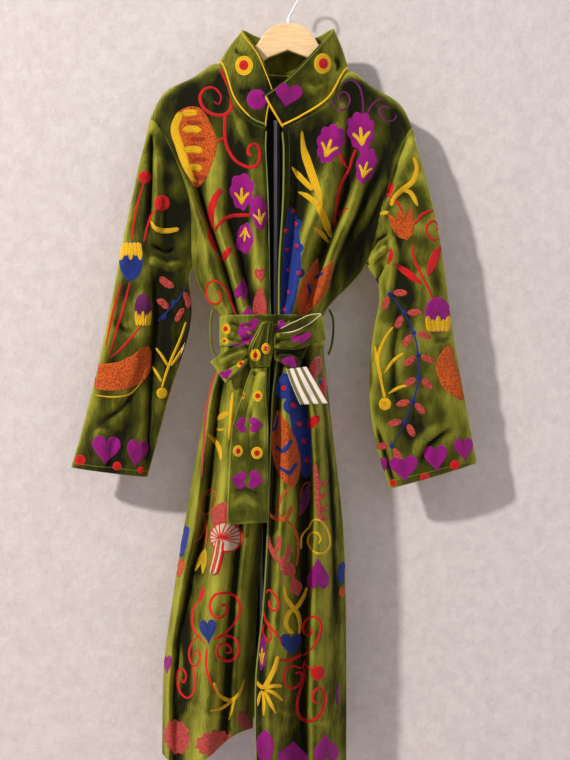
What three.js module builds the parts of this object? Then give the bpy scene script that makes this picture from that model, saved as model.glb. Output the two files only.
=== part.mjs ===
// A long velvet coat with a stand collar and a tied belt, hanging on a wooden hanger.
// Millimetres, +Z up. +X is the wearer's left, -Y the front, +Y the back.
// The origin is the inside top of the hanger's hook, where a rail or a nail carries it.
//
// Each cut piece is a wall of cloth about a grid of points on its middle surface. The grids
// come from tables of the sections down the coat: a row for each section, and a column for the
// edge, for each fold and for the side. Pieces that are sewn together share the points of
// their seam, and each stops a little short of it.

import * as THREE from 'three';

// ---------- driving dimensions ----------

const WALL = 2.4;            // velvet with its lining
const COLLAR_WALL = 3;       // two layers of velvet and a stiffener
const BELT_WALL = 2.4;
const LINING_WALL = 1;
const SEAM_GAP = 0.3;
const LAY_GAP = 0.35;        // between cloth and what it lies on
const UNDERARM_STAND_OFF = 3.4;

const BELT_TOP = -558;
const BELT_FOOT = -608;
const BELT_SIDES = 32;

const HANGER_THICKNESS = 10;
const HANGER_BEVEL = 2.5;
const HOOK_WIRE = 1.8;       // radius
const HOOK_BEND = 20;        // radius of the hook to the middle of its wire
const DOME_TOP = -67;

const CARRIER_RADIUS = 2;

// How many steps each stretch of a grid is cut into.
const STEPS_ACROSS = 2;
const STEPS_DOWN = [1, 2, 3, 3, 2, 1, 1, 2, 3, 2, 2, 2];
const UNDERARM_SECTION = 4;
const STEPS_BACK_NECK = 6;
const COLLAR_STEPS = 3;

const COLUMNS = ['edge', 'fold1', 'fold2', 'neck', 'fold3', 'fold4', 'side'];
const NECK_COLUMN = 3;

const SEAT = WALL / 2 + LAY_GAP;

// ---------- the two fronts ----------
// A cell is [x, y], at the row's height, or [x, y, z] where the row isn't level.

const FRONT_RIGHT = [
  { edge: [-36, -32, -249], fold1: [-62, -36, -240], fold2: [-90, -32, -208], neck: [-115, 0, -137],
    fold3: [-158, 0, -159], fold4: [-205, 0, -184], side: [-229, 0, -227] },
  { edge: [-36, -33, -256], fold1: [-61, -37, -250], fold2: [-90, -34, -220], neck: [-116, -15, -153],
    fold3: [-158, -12, -173], fold4: [-201, -12, -199], side: [-219, -9, -236] },
  { z: -284, edge: [-37, -30], fold1: [-48, -35], fold2: [-86, -27], neck: [-119, -31],
    fold3: [-151, -20], fold4: [-173, -25], side: [-192, -14] },
  { z: -368, edge: [-33, -42], fold1: [-46, -49], fold2: [-84, -30], neck: [-117, -46],
    fold3: [-141, -18], fold4: [-152, -34], side: [-162, -20] },
  { z: -470, edge: [-31, -58], fold1: [-42, -65], fold2: [-72, -40], neck: [-92, -61],
    fold3: [-107, -32], fold4: [-127, -52], side: [-158, -12] },
  { z: -534, edge: [-30, -70], fold1: [-39, -75], fold2: [-54, -54], neck: [-73, -70],
    fold3: [-88, -47], fold4: [-107, -59], side: [-131, -15] },
  { z: -557, edge: [-29, -76], fold1: [-36, -79], fold2: [-49, -64], neck: [-67, -75],
    fold3: [-81, -56], fold4: [-97, -61], side: [-111, -18] },
  { z: -609, edge: [-29, -76], fold1: [-36, -79], fold2: [-49, -64], neck: [-67, -75],
    fold3: [-82, -56], fold4: [-97, -61], side: [-111, -18] },
  { z: -695, edge: [-32, -72], fold1: [-47, -89], fold2: [-61, -74], neck: [-80, -91],
    fold3: [-109, -48], fold4: [-122, -60], side: [-134, -12] },
  { z: -897, edge: [-42, -54], fold1: [-61, -100], fold2: [-78, -89], neck: [-101, -109],
    fold3: [-136, -42], fold4: [-151, -58], side: [-170, -10] },
  { z: -1018, edge: [-51, -44], fold1: [-74, -100], fold2: [-93, -92], neck: [-116, -115],
    fold3: [-163, -44], fold4: [-176, -58], side: [-189, -10] },
  { z: -1140, edge: [-56, -38], fold1: [-80, -99], fold2: [-100, -95], neck: [-127, -120],
    fold3: [-177, -48], fold4: [-191, -60], side: [-205, -10] },
  { edge: [-59, -34, -1234], fold1: [-84, -98, -1226], fold2: [-105, -96, -1242],
    neck: [-133, -124, -1258], fold3: [-179, -58, -1280], fold4: [-192, -66, -1277],
    side: [-208, -10, -1283] },
];

const FRONT_LEFT = [
  { edge: [-9, -38, -251], fold1: [20, -40, -238], fold2: [66, -34, -208], neck: [100, 0, -149],
    fold3: [140, 0, -174], fold4: [186, 0, -203], side: [207, 0, -242] },
  { edge: [-9, -39, -260], fold1: [20, -40, -248], fold2: [67, -35, -220], neck: [101, -15, -165],
    fold3: [140, -12, -188], fold4: [183, -12, -217], side: [200, -9, -250] },
  { z: -284, edge: [-7, -38], fold1: [20, -28], fold2: [79, -36], neck: [108, -19],
    fold3: [130, -27], fold4: [161, -15], side: [183, -13] },
  { z: -368, edge: [-8, -46], fold1: [16, -30], fold2: [55, -52], neck: [88, -22],
    fold3: [108, -43], fold4: [132, -20], side: [158, -20] },
  { z: -470, edge: [-14, -60], fold1: [3, -42], fold2: [21, -67], neck: [48, -36],
    fold3: [65, -57], fold4: [94, -30], side: [129, -12] },
  { z: -534, edge: [-15, -72], fold1: [-3, -58], fold2: [9, -77], neck: [29, -50],
    fold3: [42, -64], fold4: [56, -42], side: [72, -15] },
  { z: -557, edge: [-15, -79], fold1: [-7, -69], fold2: [4, -80], neck: [19, -60],
    fold3: [32, -66], fold4: [45, -46], side: [58, -18] },
  { z: -609, edge: [-15, -79], fold1: [-7, -69], fold2: [4, -80], neck: [19, -60],
    fold3: [32, -66], fold4: [45, -46], side: [58, -18] },
  { z: -695, edge: [-25, -86], fold1: [-14, -79], fold2: [1, -93], neck: [24, -56],
    fold3: [42, -72], fold4: [56, -42], side: [67, -12] },
  { z: -897, edge: [-32, -100], fold1: [-22, -96], fold2: [-4, -111], neck: [23, -54],
    fold3: [49, -83], fold4: [73, -40], side: [90, -10] },
  { z: -1018, edge: [-39, -106], fold1: [-30, -104], fold2: [-12, -118], neck: [24, -54],
    fold3: [47, -84], fold4: [74, -40], side: [95, -10] },
  { z: -1140, edge: [-51, -112], fold1: [-41, -112], fold2: [-23, -124], neck: [22, -56],
    fold3: [44, -84], fold4: [75, -42], side: [96, -10] },
  { edge: [-50, -116, -1282], fold1: [-40, -116, -1280], fold2: [-24, -128, -1276],
    neck: [22, -60, -1296], fold3: [44, -86, -1290], fold4: [75, -44, -1304], side: [96, -10, -1310] },
];

// ---------- the back ----------
// armhole is how far behind the shoulder the back of each armhole runs, middle is the depth of
// the back between its sides, and fold is the height of its folds. Below the underarm the
// sides are the side seams.

const BACK = [
  { middle: 24, fold: 0 },
  { armhole: 10, middle: 27, fold: 1 },
  { armhole: 16, middle: 34, fold: 2 },
  { armhole: 22, middle: 37, fold: 3 },
  { middle: 35, fold: 4 },
  { middle: 27, fold: 5 },
  { middle: 22, fold: 4 },
  { middle: 22, fold: 4 },
  { middle: 30, fold: 6 },
  { middle: 38, fold: 8 },
  { middle: 41, fold: 9 },
  { middle: 43, fold: 9 },
  { middle: 45, fold: 9, rise: 55 },
];
const BACK_FOLDS = 4;
const BACK_NECK = { dip: 4, behind: 30 };
const BACK_SQUARENESS = 0.3;    // 0.5 is a round back, and less is a flatter one

// ---------- the sleeves ----------
// Each row is a section: its upper edge and its under edge as [x, z], how far the sleeve
// stands in front and behind, and the step at the crease down its front.

const SLEEVE_RIGHT = [
  { upper: [-243, -290], under: [-164, -486], front: 27, behind: 20, crease: 4 },
  { upper: [-258, -358], under: [-165, -500], front: 30, behind: 20, crease: 8 },
  { upper: [-273, -430], under: [-164, -522], front: 32, behind: 20, crease: 14 },
  { upper: [-287, -505], under: [-162, -552], front: 34, behind: 20, crease: 20 },
  { upper: [-302, -580], under: [-169, -594], front: 34, behind: 18, crease: 22 },
  { upper: [-317, -650], under: [-186, -648], front: 32, behind: 18, crease: 20 },
  { upper: [-332, -708], under: [-203, -702], front: 28, behind: 16, crease: 14 },
  { upper: [-345, -758], under: [-218, -760], front: 25, behind: 14, crease: 6 },
  { upper: [-360, -808], under: [-235, -824], front: 22, behind: 12, crease: 0 },
];
const SLEEVE_LEFT = [
  { upper: [221, -300], under: [137, -480], front: 27, behind: 20, crease: 2 },
  { upper: [238, -363], under: [145, -490], front: 30, behind: 20, crease: 5 },
  { upper: [252, -430], under: [152, -506], front: 32, behind: 20, crease: 8 },
  { upper: [263, -505], under: [153, -536], front: 33, behind: 20, crease: 9 },
  { upper: [273, -580], under: [144, -580], front: 33, behind: 18, crease: 8 },
  { upper: [285, -650], under: [138, -640], front: 31, behind: 18, crease: 6 },
  { upper: [295, -705], under: [138, -705], front: 28, behind: 16, crease: 4 },
  { upper: [305, -758], under: [147, -766], front: 25, behind: 14, crease: 2 },
  { upper: [313, -801], under: [170, -843], front: 22, behind: 12, crease: 0 },
];
const CREASE_AT = 0.52;

// ---------- the collar ----------
// Its top edge, at shares of the way along the band, from the end that is tucked under.

const COLLAR_TOP = [
  { share: 0.0, at: [-24, -47, -190] },
  { share: 0.12, at: [-34, -46, -160] },
  { share: 0.23, at: [-48, -36, -124] },
  { share: 0.34, at: [-75, -5, -81] },
  { share: 0.42, at: [-46, 20, -86] },
  { share: 0.5, at: [0, 26, -88] },
  { share: 0.58, at: [46, 20, -86] },
  { share: 0.66, at: [75, -7, -79] },
  { share: 0.77, at: [42, -40, -124] },
  { share: 0.88, at: [0, -56, -172] },
  { share: 1.0, at: [-40, -60, -202] },
];
const COLLAR_BULGE = 3;

// ---------- the belt ----------

const KNOT = { x: -42, halfWidth: 21, top: -571, foot: -642, depth: 26 };

// A ribbon is a row of cross lines: the middle of each, and the vector to its upper end.
const TAIL_LONG = [
  { at: [-46, -96, -643], half: [12, 0, 0] },
  { at: [-53, -114, -680], half: [17, 0, 0] },
  { at: [-60, -124, -740], half: [29, 0, 2] },
  { at: [-62, -128, -815], half: [31, 0, 1] },
  { at: [-63, -130, -887], half: [33, 0, 2] },
];
const TAIL_ROOT = [
  { at: [-21.6, -98, -617], half: [0, 0, 13] },
  { at: [4, -99, -616], half: [3, 0, 19] },
  { at: [24, -96, -621], half: [8, 0, 15] },
];
const TAIL_SHORT = [
  { at: [12, -101, -634], half: [16, 0, 3] },
  { at: [22, -104, -660], half: [19, 0, 3] },
  { at: [42, -105, -697], half: [20, 0, 6] },
];
const BOW_RIGHT = [
  { at: [-21.8, -103, -600], half: [0, 0, 12] },
  { at: [10, -112, -596], half: [-3, 0, 18] },
  { at: [38, -110, -583], half: [-5, 0, 20] },
  { at: [54, -103, -578], half: [-4, 0, 20] },
  { at: [55, -97, -578], half: [-4, 0, 20] },
  { at: [38, -94, -582], half: [-5, 0, 19] },
  { at: [10, -94, -592], half: [-3, 0, 14] },
  { at: [-21.8, -96, -592], half: [0, 0, 5] },
];
const BOW_LEFT = [
  { at: [-67.1, -103, -618], half: [-4, 0, 12] },
  { at: [-84, -113, -630], half: [-9, 0, 15] },
  { at: [-101, -111, -642], half: [-11, 0, 16] },
  { at: [-110, -102, -650], half: [-12, 0, 17] },
  { at: [-108, -94, -649], half: [-12, 0, 17] },
  { at: [-86, -93, -637], half: [-9, 0, 15] },
  { at: [-67.8, -97, -624], half: [-4, 0, 10] },
];
const RIBBON_STEPS = 2;

// ---------- the belt carriers, the hook and the hanger ----------

const CARRIER_RIGHT = [[-123.6, -18, -546], [-127, -19, -560], [-128, -19, -583], [-126, -19, -606],
  [-121, -18, -622]];
const CARRIER_LEFT = [[67.8, -18, -546], [74, -19, -560], [75, -19, -583], [72, -19, -606],
  [66.6, -18, -622]];

const HANGER_TOP = { half: 48, z: -103 };
const HANGER_NOTCH = { z: -113, half: 34, foot: -126 };
const ARM_RIGHT = { neck: [-112, -158], shoulder: [-160, -170], seat: [-194, -184.8],
  tip: [-205, -199], foot: [-195, -212], under: [-118, -186] };
const ARM_LEFT = { neck: [96, -170], shoulder: [141, -186], seat: [176, -203.4],
  tip: [186, -217], foot: [176, -228], under: [104, -198] };

// ---------- interpolation ----------

// A smooth curve through a list of points, cut into steps[i] pieces between points i and i + 1.
function through(points, steps) {
  const count = (i) => (Array.isArray(steps) ? steps[i] : steps);
  const out = [points[0].clone()];
  for (let i = 0; i < points.length - 1; i += 1) {
    const before = points[Math.max(i - 1, 0)];
    const after = points[Math.min(i + 2, points.length - 1)];
    const a = points[i];
    const b = points[i + 1];
    // Tangents are cut down to the length of the stretch, so that uneven rows don't overshoot.
    const tangent = (from, to, own) => {
      const t = new THREE.Vector3().subVectors(to, from).multiplyScalar(0.5);
      const limit = own * 1.1;
      return t.length() > limit ? t.setLength(limit) : t;
    };
    const length = a.distanceTo(b);
    const ta = tangent(before, b, length);
    const tb = tangent(a, after, length);
    for (let k = 1; k <= count(i); k += 1) {
      const t = k / count(i);
      const t2 = t * t;
      const t3 = t2 * t;
      out.push(new THREE.Vector3()
        .addScaledVector(a, 2 * t3 - 3 * t2 + 1)
        .addScaledVector(ta, t3 - 2 * t2 + t)
        .addScaledVector(b, -2 * t3 + 3 * t2)
        .addScaledVector(tb, t3 - t2));
    }
  }
  return out;
}

const vector = (cell) => new THREE.Vector3(...cell);
const sum = (list) => list.reduce((a, b) => a + b, 0);

// ---------- grids of the pieces ----------

// Rows of a front, from the neck and shoulder down to the hem.
function frontGrid(table) {
  const columns = COLUMNS.map((name) => table.map((row) => {
    const [x, y, z] = row[name];
    return new THREE.Vector3(x, y, z === undefined ? row.z : z);
  }));
  const down = columns.map((points) => through(points, STEPS_DOWN));
  return down[0].map((_, r) => through(down.map((points) => points[r]), STEPS_ACROSS));
}

const frontRight = frontGrid(FRONT_RIGHT);
const frontLeft = frontGrid(FRONT_LEFT);
const rowCount = frontRight.length;
const lastColumn = frontRight[0].length - 1;
const neckColumn = NECK_COLUMN * STEPS_ACROSS;
const underarmRow = sum(STEPS_DOWN.slice(0, UNDERARM_SECTION));

// One value of the back's table at every row of the fine grid.
function backValues(name, first, last) {
  const points = BACK.slice(first, last + 1).map((row) => new THREE.Vector3(row[name] ?? 0, 0, 0));
  return through(points, STEPS_DOWN.slice(first, last)).map((p) => p.x);
}

function backGrid() {
  const middle = backValues('middle', 0, BACK.length - 1);
  const fold = backValues('fold', 0, BACK.length - 1);
  const armhole = backValues('armhole', 0, UNDERARM_SECTION);
  const rise = backValues('rise', 0, BACK.length - 1);
  const shoulderSteps = lastColumn - neckColumn;
  const across = 2 * shoulderSteps + STEPS_BACK_NECK;
  const grid = [];
  for (let r = 0; r < rowCount; r += 1) {
    const right = frontRight[r][lastColumn].clone();
    const left = frontLeft[r][lastColumn].clone();
    if (r > 0 && r < underarmRow) {
      right.y = armhole[r];
      left.y = armhole[r];
    }
    const line = [];
    for (let c = 0; c <= across; c += 1) {
      const share = c / across;
      const p = new THREE.Vector3().lerpVectors(right, left, share);
      // The upper rows follow the shoulders and the neck, and fade into level ones.
      if (r < underarmRow) {
        const rise = 1 - r / underarmRow;
        const top = shoulderPoint(c, shoulderSteps);
        const flat = new THREE.Vector3().lerpVectors(frontRight[0][lastColumn],
          frontLeft[0][lastColumn], share);
        p.z += (top.z - flat.z) * rise ** 1.6;
        p.x += (top.x - flat.x) * rise;
      }
      if (r === 0) {
        p.copy(shoulderPoint(c, shoulderSteps));
      } else {
        const depth = Math.sin(Math.PI * share) ** BACK_SQUARENESS;
        const wave = Math.cos(2 * Math.PI * BACK_FOLDS * share) * Math.sin(Math.PI * share);
        p.y += (middle[r] - p.y) * depth + fold[r] * wave;
        p.z += rise[r] * Math.sin(Math.PI * share);
      }
      line.push(p);
    }
    grid.push(line);
  }
  return grid;
}

// The top edge of the back: the shoulder seams are the fronts' own, with the neck between.
function shoulderPoint(column, shoulderSteps) {
  if (column <= shoulderSteps) return frontRight[0][lastColumn - column].clone();
  const fromNeck = column - shoulderSteps;
  if (fromNeck >= STEPS_BACK_NECK) {
    return frontLeft[0][neckColumn + fromNeck - STEPS_BACK_NECK].clone();
  }
  const share = fromNeck / STEPS_BACK_NECK;
  const p = new THREE.Vector3().lerpVectors(frontRight[0][neckColumn], frontLeft[0][neckColumn], share);
  const bow = Math.sin(Math.PI * share);
  p.y += BACK_NECK.behind * bow ** 0.6;
  p.z -= BACK_NECK.dip * bow;
  return p;
}

const back = backGrid();

// A sleeve is a ring of points at each section: down its front from the upper edge to the
// under edge, and back up behind. The first ring is the armhole.
function sleeveGrid(table, front, backColumn) {
  const half = underarmRow;
  const ring = [];
  for (let r = 0; r < half; r += 1) ring.push(front[r][lastColumn].clone());
  for (let r = half; r > 0; r -= 1) ring.push(back[r][backColumn].clone());
  // Below the underarm the sleeve and the side of the coat part, a wall's thickness from each other.
  ring[half].x += Math.sign(ring[half].x - front[half][0].x) * UNDERARM_STAND_OFF;
  const grid = [ring];
  const sections = table.map((row) => {
    const points = [];
    for (let k = 0; k < 2 * half; k += 1) {
      const onFront = k <= half;
      const turn = Math.PI * (onFront ? k : 2 * half - k) / half;
      const share = (1 - Math.cos(turn)) / 2;
      const swell = Math.sin(turn) ** 0.8;
      let y = onFront ? -row.front * swell : row.behind * swell;
      if (onFront && share > CREASE_AT) y += row.crease * Math.sin(turn) ** 0.5;
      points.push(new THREE.Vector3(
        THREE.MathUtils.lerp(row.upper[0], row.under[0], share), y - 4,
        THREE.MathUtils.lerp(row.upper[1], row.under[1], share)));
    }
    return points;
  });
  return grid.concat(sections);
}

// The collar's band: the neckline is its foot, and rows run from its top edge to its foot.
function collarGrid() {
  const shoulderSteps = lastColumn - neckColumn;
  const foot = [];
  for (let c = 0; c <= neckColumn; c += 1) foot.push(frontRight[0][c].clone());
  for (let c = 1; c < STEPS_BACK_NECK; c += 1) foot.push(back[0][shoulderSteps + c].clone());
  for (let c = neckColumn; c >= 0; c -= 1) foot.push(frontLeft[0][c].clone());
  const curve = new THREE.CatmullRomCurve3(COLLAR_TOP.map((row) => vector(row.at)), false, 'centripetal');
  const top = foot.map((_, i) => {
    const share = i / (foot.length - 1);
    const k = Math.max(1, COLLAR_TOP.findIndex((row) => row.share >= share - 1e-9));
    const [a, b] = [COLLAR_TOP[k - 1].share, COLLAR_TOP[k].share];
    return curve.getPoint((k - 1 + (share - a) / (b - a)) / (COLLAR_TOP.length - 1));
  });
  const middle = new THREE.Vector3();
  for (const p of foot) middle.addScaledVector(p, 1 / foot.length);
  return Array.from({ length: COLLAR_STEPS + 1 }, (_, r) => {
    const share = r / COLLAR_STEPS;
    return foot.map((p, i) => {
      const at = new THREE.Vector3().lerpVectors(top[i], p, share);
      const out = new THREE.Vector3(at.x - middle.x, at.y - middle.y, 0).normalize();
      return at.addScaledVector(out, COLLAR_BULGE * Math.sin(Math.PI * share));
    });
  });
}

// ---------- walls ----------

// The normal at each grid point, summed over the faces that meet there.
function gridNormals(grid, facing, ring) {
  const rows = grid.length;
  const columns = grid[0].length;
  const normals = grid.map((line) => line.map(() => new THREE.Vector3()));
  const lastFace = ring ? columns : columns - 1;
  for (let r = 0; r < rows - 1; r += 1) {
    for (let c = 0; c < lastFace; c += 1) {
      const next = (c + 1) % columns;
      const across = new THREE.Vector3().subVectors(grid[r][next], grid[r][c])
        .add(grid[r + 1][next]).sub(grid[r + 1][c]);
      const down = new THREE.Vector3().subVectors(grid[r + 1][c], grid[r][c])
        .add(grid[r + 1][next]).sub(grid[r][next]);
      const face = new THREE.Vector3().crossVectors(across, down).multiplyScalar(facing);
      for (const [i, j] of [[r, c], [r, next], [r + 1, c], [r + 1, next]]) normals[i][j].add(face);
    }
  }
  return normals;
}

// Pieces that are sewn together use one normal at each point of their seam.
function joinNormals(pieces) {
  const key = (p) => [p.x, p.y, p.z].map((v) => Math.round(v * 100)).join();
  const sums = new Map();
  for (const piece of pieces) {
    piece.normals = gridNormals(piece.grid, piece.facing, piece.ring);
    piece.grid.forEach((line, r) => line.forEach((p, c) => {
      const total = sums.get(key(p)) ?? new THREE.Vector3();
      sums.set(key(p), total.add(piece.normals[r][c]));
    }));
  }
  for (const piece of pieces) {
    piece.normals = piece.grid.map((line) => line.map((p) => sums.get(key(p)).clone().normalize()));
  }
}

// Moves the points of one border of a grid in, so that the pieces at a seam stay apart.
function easeBorder(grid, border, distance) {
  const rows = grid.length;
  const columns = grid[0].length;
  const pull = (p, inner) => {
    const step = new THREE.Vector3().subVectors(inner, p);
    return p.clone().addScaledVector(step.normalize(), distance);
  };
  const eased = grid.map((line) => line.map((p) => p.clone()));
  if (border === 'top') grid[0].forEach((p, c) => { eased[0][c] = pull(p, grid[1][c]); });
  if (border === 'foot') grid[rows - 1].forEach((p, c) => { eased[rows - 1][c] = pull(p, grid[rows - 2][c]); });
  if (border === 'first') grid.forEach((line, r) => { eased[r][0] = pull(line[0], line[1]); });
  if (border === 'last') {
    grid.forEach((line, r) => { eased[r][columns - 1] = pull(line[columns - 1], line[columns - 2]); });
  }
  return eased;
}

// The closed wall about a grid: its points moved half the wall's thickness to either side.
function wallAbout({ grid, normals, ring, wall }) {
  const rows = grid.length;
  const columns = grid[0].length;
  const position = [];
  for (const side of [wall / 2, -wall / 2]) {
    grid.forEach((line, r) => line.forEach((p, c) => {
      position.push(...p.clone().addScaledVector(normals[r][c], side).toArray());
    }));
  }
  const at = (side, r, c) => side * rows * columns + r * columns + (c % columns);
  const index = [];
  const quad = (a, b, c, d) => index.push(a, b, c, a, c, d);
  const lastFace = ring ? columns : columns - 1;
  for (let c = 0; c < lastFace; c += 1) {
    for (let r = 0; r < rows - 1; r += 1) {
      quad(at(0, r, c), at(0, r + 1, c), at(0, r + 1, c + 1), at(0, r, c + 1));
      quad(at(1, r, c), at(1, r, c + 1), at(1, r + 1, c + 1), at(1, r + 1, c));
    }
    quad(at(0, 0, c), at(0, 0, c + 1), at(1, 0, c + 1), at(1, 0, c));
    quad(at(0, rows - 1, c), at(1, rows - 1, c), at(1, rows - 1, c + 1), at(0, rows - 1, c + 1));
  }
  if (!ring) {
    for (let r = 0; r < rows - 1; r += 1) {
      const end = columns - 1;
      quad(at(0, r, 0), at(1, r, 0), at(1, r + 1, 0), at(0, r + 1, 0));
      quad(at(0, r, end), at(0, r + 1, end), at(1, r + 1, end), at(1, r, end));
    }
  }
  return closedGeometry(position, index);
}

// A geometry whose faces point out, whichever way its grid ran.
function closedGeometry(position, index) {
  let volume = 0;
  const corner = (i) => new THREE.Vector3().fromArray(position, 3 * i);
  for (let k = 0; k < index.length; k += 3) {
    volume += corner(index[k]).dot(corner(index[k + 1]).cross(corner(index[k + 2])));
  }
  if (volume < 0) {
    for (let k = 0; k < index.length; k += 3) [index[k], index[k + 1]] = [index[k + 1], index[k]];
  }
  const geometry = new THREE.BufferGeometry();
  geometry.setAttribute('position', new THREE.Float32BufferAttribute(position, 3));
  geometry.setIndex(index);
  return geometry;
}

// ---------- the belt's pieces ----------

// The waist as the belt feels it: straight stretches that rest on the highest folds.
function beltRing() {
  const waist = [frontRight, back, frontLeft].flatMap((grid) => grid.flat())
    .filter((p) => p.z < BELT_TOP + 4 && p.z > BELT_FOOT - 4);
  const reach = (angle) => Math.max(...waist.map((p) => p.x * Math.cos(angle) + p.y * Math.sin(angle)))
    + SEAT + BELT_WALL / 2;
  const corners = Array.from({ length: BELT_SIDES }, (_, k) => {
    const [a, b] = [k, k + 1].map((i) => (2 * Math.PI * i) / BELT_SIDES);
    const [ra, rb] = [reach(a), reach(b)];
    const turn = Math.sin(b - a);
    return [(ra * Math.sin(b) - rb * Math.sin(a)) / turn, (rb * Math.cos(a) - ra * Math.cos(b)) / turn];
  });
  return [BELT_TOP, BELT_FOOT].map((z) => corners.map(([x, y]) => new THREE.Vector3(x, y, z)));
}

function ribbonGrid(table) {
  const top = through(table.map((row) => vector(row.at).add(vector(row.half))), RIBBON_STEPS);
  const foot = through(table.map((row) => vector(row.at).sub(vector(row.half))), RIBBON_STEPS);
  return [top, top.map((p, i) => new THREE.Vector3().addVectors(p, foot[i]).multiplyScalar(0.5)), foot];
}

// The knot is a gathered lump, in front of the belt: rings of a rounded rectangle.
function knotGeometry(beltFront) {
  const rings = 7;
  const sides = 12;
  const position = [];
  const index = [];
  const behind = beltFront - BELT_WALL / 2 - LAY_GAP;
  for (let r = 0; r < rings; r += 1) {
    const share = r / (rings - 1);
    const swell = 0.72 + 0.28 * Math.sin(Math.PI * share) ** 0.7;
    for (let k = 0; k < sides; k += 1) {
      const turn = (2 * Math.PI * k) / sides;
      const squared = (v) => Math.sign(v) * Math.abs(v) ** 0.7;
      position.push(KNOT.x - 4 * share + KNOT.halfWidth * swell * squared(Math.cos(turn)),
        behind - (KNOT.depth / 2) * swell * (1 + squared(Math.sin(turn))),
        THREE.MathUtils.lerp(KNOT.top, KNOT.foot, share));
      if (r < rings - 1) {
        const next = (k + 1) % sides;
        const [a, b] = [r * sides + k, r * sides + next];
        index.push(a, b, b + sides, a, b + sides, a + sides);
      }
    }
  }
  for (let k = 1; k < sides - 1; k += 1) {
    index.push(0, k + 1, k);
    const last = (rings - 1) * sides;
    index.push(last, last + k, last + k + 1);
  }
  return closedGeometry(position, index);
}

// ---------- round pieces and the hanger ----------

function wire(points, radius, steps, sides) {
  const section = new THREE.Shape();
  for (let k = 0; k < sides; k += 1) {
    const turn = (2 * Math.PI * k) / sides;
    const at = [radius * Math.cos(turn), radius * Math.sin(turn)];
    if (k === 0) section.moveTo(...at);
    else section.lineTo(...at);
  }
  section.closePath();
  const path = new THREE.CatmullRomCurve3(points.map(vector), false, 'centripetal');
  return new THREE.ExtrudeGeometry(section, { steps, extrudePath: path, bevelEnabled: false });
}

// The hook's wire leaves the dome, leans out to one side and bends over the origin.
function hookPoints() {
  const centre = HOOK_WIRE - HOOK_BEND;
  const foot = DOME_TOP + LAY_GAP;
  const points = [[0, 0, foot], [0, 0, foot + 6], [11, 0, foot + 28]];
  for (let turn = -10; turn <= 195; turn += 20.5) {
    const angle = THREE.MathUtils.degToRad(turn);
    points.push([HOOK_BEND * Math.cos(angle), 0, centre + HOOK_BEND * Math.sin(angle)]);
  }
  return points;
}

// The hanger is a flat board with a domed middle, a notch under it and two sloping arms.
function hangerGeometry() {
  const board = new THREE.Shape();
  const inset = ([x, z]) => [x, z - HANGER_BEVEL];
  board.moveTo(...inset([0, DOME_TOP]));
  board.bezierCurveTo(22, DOME_TOP - HANGER_BEVEL, 38, DOME_TOP - 14, HANGER_TOP.half, HANGER_TOP.z);
  for (const side of [1, -1]) {
    const arm = side > 0 ? ARM_LEFT : ARM_RIGHT;
    const inward = ([x, z]) => [x - side * HANGER_BEVEL, z + HANGER_BEVEL];
    const outline = [
      inset(arm.neck), inset(arm.shoulder), inset(arm.seat), inward(arm.tip), inward(arm.foot), inward(arm.under),
      [side * HANGER_NOTCH.half, HANGER_NOTCH.foot + HANGER_BEVEL],
    ];
    if (side < 0) outline.reverse();
    for (const [x, z] of outline) board.lineTo(x, z);
    if (side > 0) board.lineTo(0, HANGER_NOTCH.z + HANGER_BEVEL);
  }
  board.lineTo(-HANGER_TOP.half, HANGER_TOP.z);
  board.bezierCurveTo(-38, DOME_TOP - 14, -22, DOME_TOP - HANGER_BEVEL, 0, DOME_TOP - HANGER_BEVEL);
  const depth = HANGER_THICKNESS - 2 * HANGER_BEVEL;
  const geometry = new THREE.ExtrudeGeometry(board, {
    depth, curveSegments: 6, bevelThickness: HANGER_BEVEL, bevelSize: HANGER_BEVEL, bevelSegments: 2,
  });
  geometry.translate(0, 0, -depth / 2);
  return geometry.rotateX(Math.PI / 2);
}

// ---------- the pieces ----------

const coat = new THREE.Group();

const MATERIALS = {
  velvet: { color: 0x566321, roughness: 0.75, metalness: 0 },
  stripe: { color: 0x3a3936, roughness: 0.8, metalness: 0 },
  wood: { color: 0xd8b98a, roughness: 0.45, metalness: 0 },
  steel: { color: 0xb9bcc0, roughness: 0.25, metalness: 1 },
};

function add(name, geometry, material) {
  const mesh = new THREE.Mesh(geometry, new THREE.MeshStandardMaterial(MATERIALS[material]));
  mesh.name = name;
  coat.add(mesh);
}

const backRightColumn = 0;
const backLeftColumn = back[0].length - 1;
const sewn = [
  { name: 'front_right', grid: frontRight, facing: 1, wall: WALL, seams: ['top', 'last'] },
  { name: 'front_left', grid: frontLeft, facing: -1, wall: WALL, seams: ['top', 'last'] },
  { name: 'back', grid: back, facing: 1, wall: WALL, seams: ['top', 'first', 'last'] },
  { name: 'sleeve_right', grid: sleeveGrid(SLEEVE_RIGHT, frontRight, backRightColumn), facing: -1,
    wall: WALL, ring: true, seams: ['top'], ease: SEAM_GAP },
  { name: 'sleeve_left', grid: sleeveGrid(SLEEVE_LEFT, frontLeft, backLeftColumn), facing: 1,
    wall: WALL, ring: true, seams: ['top'], ease: SEAM_GAP },
  { name: 'collar', grid: collarGrid(), facing: 1, wall: COLLAR_WALL, seams: ['foot'], ease: SEAM_GAP },
];
joinNormals(sewn);
for (const piece of sewn) {
  let { grid } = piece;
  for (const border of piece.seams) grid = easeBorder(grid, border, piece.ease ?? SEAM_GAP / 2);
  add(piece.name, wallAbout({ ...piece, grid }), 'velvet');
}

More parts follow.
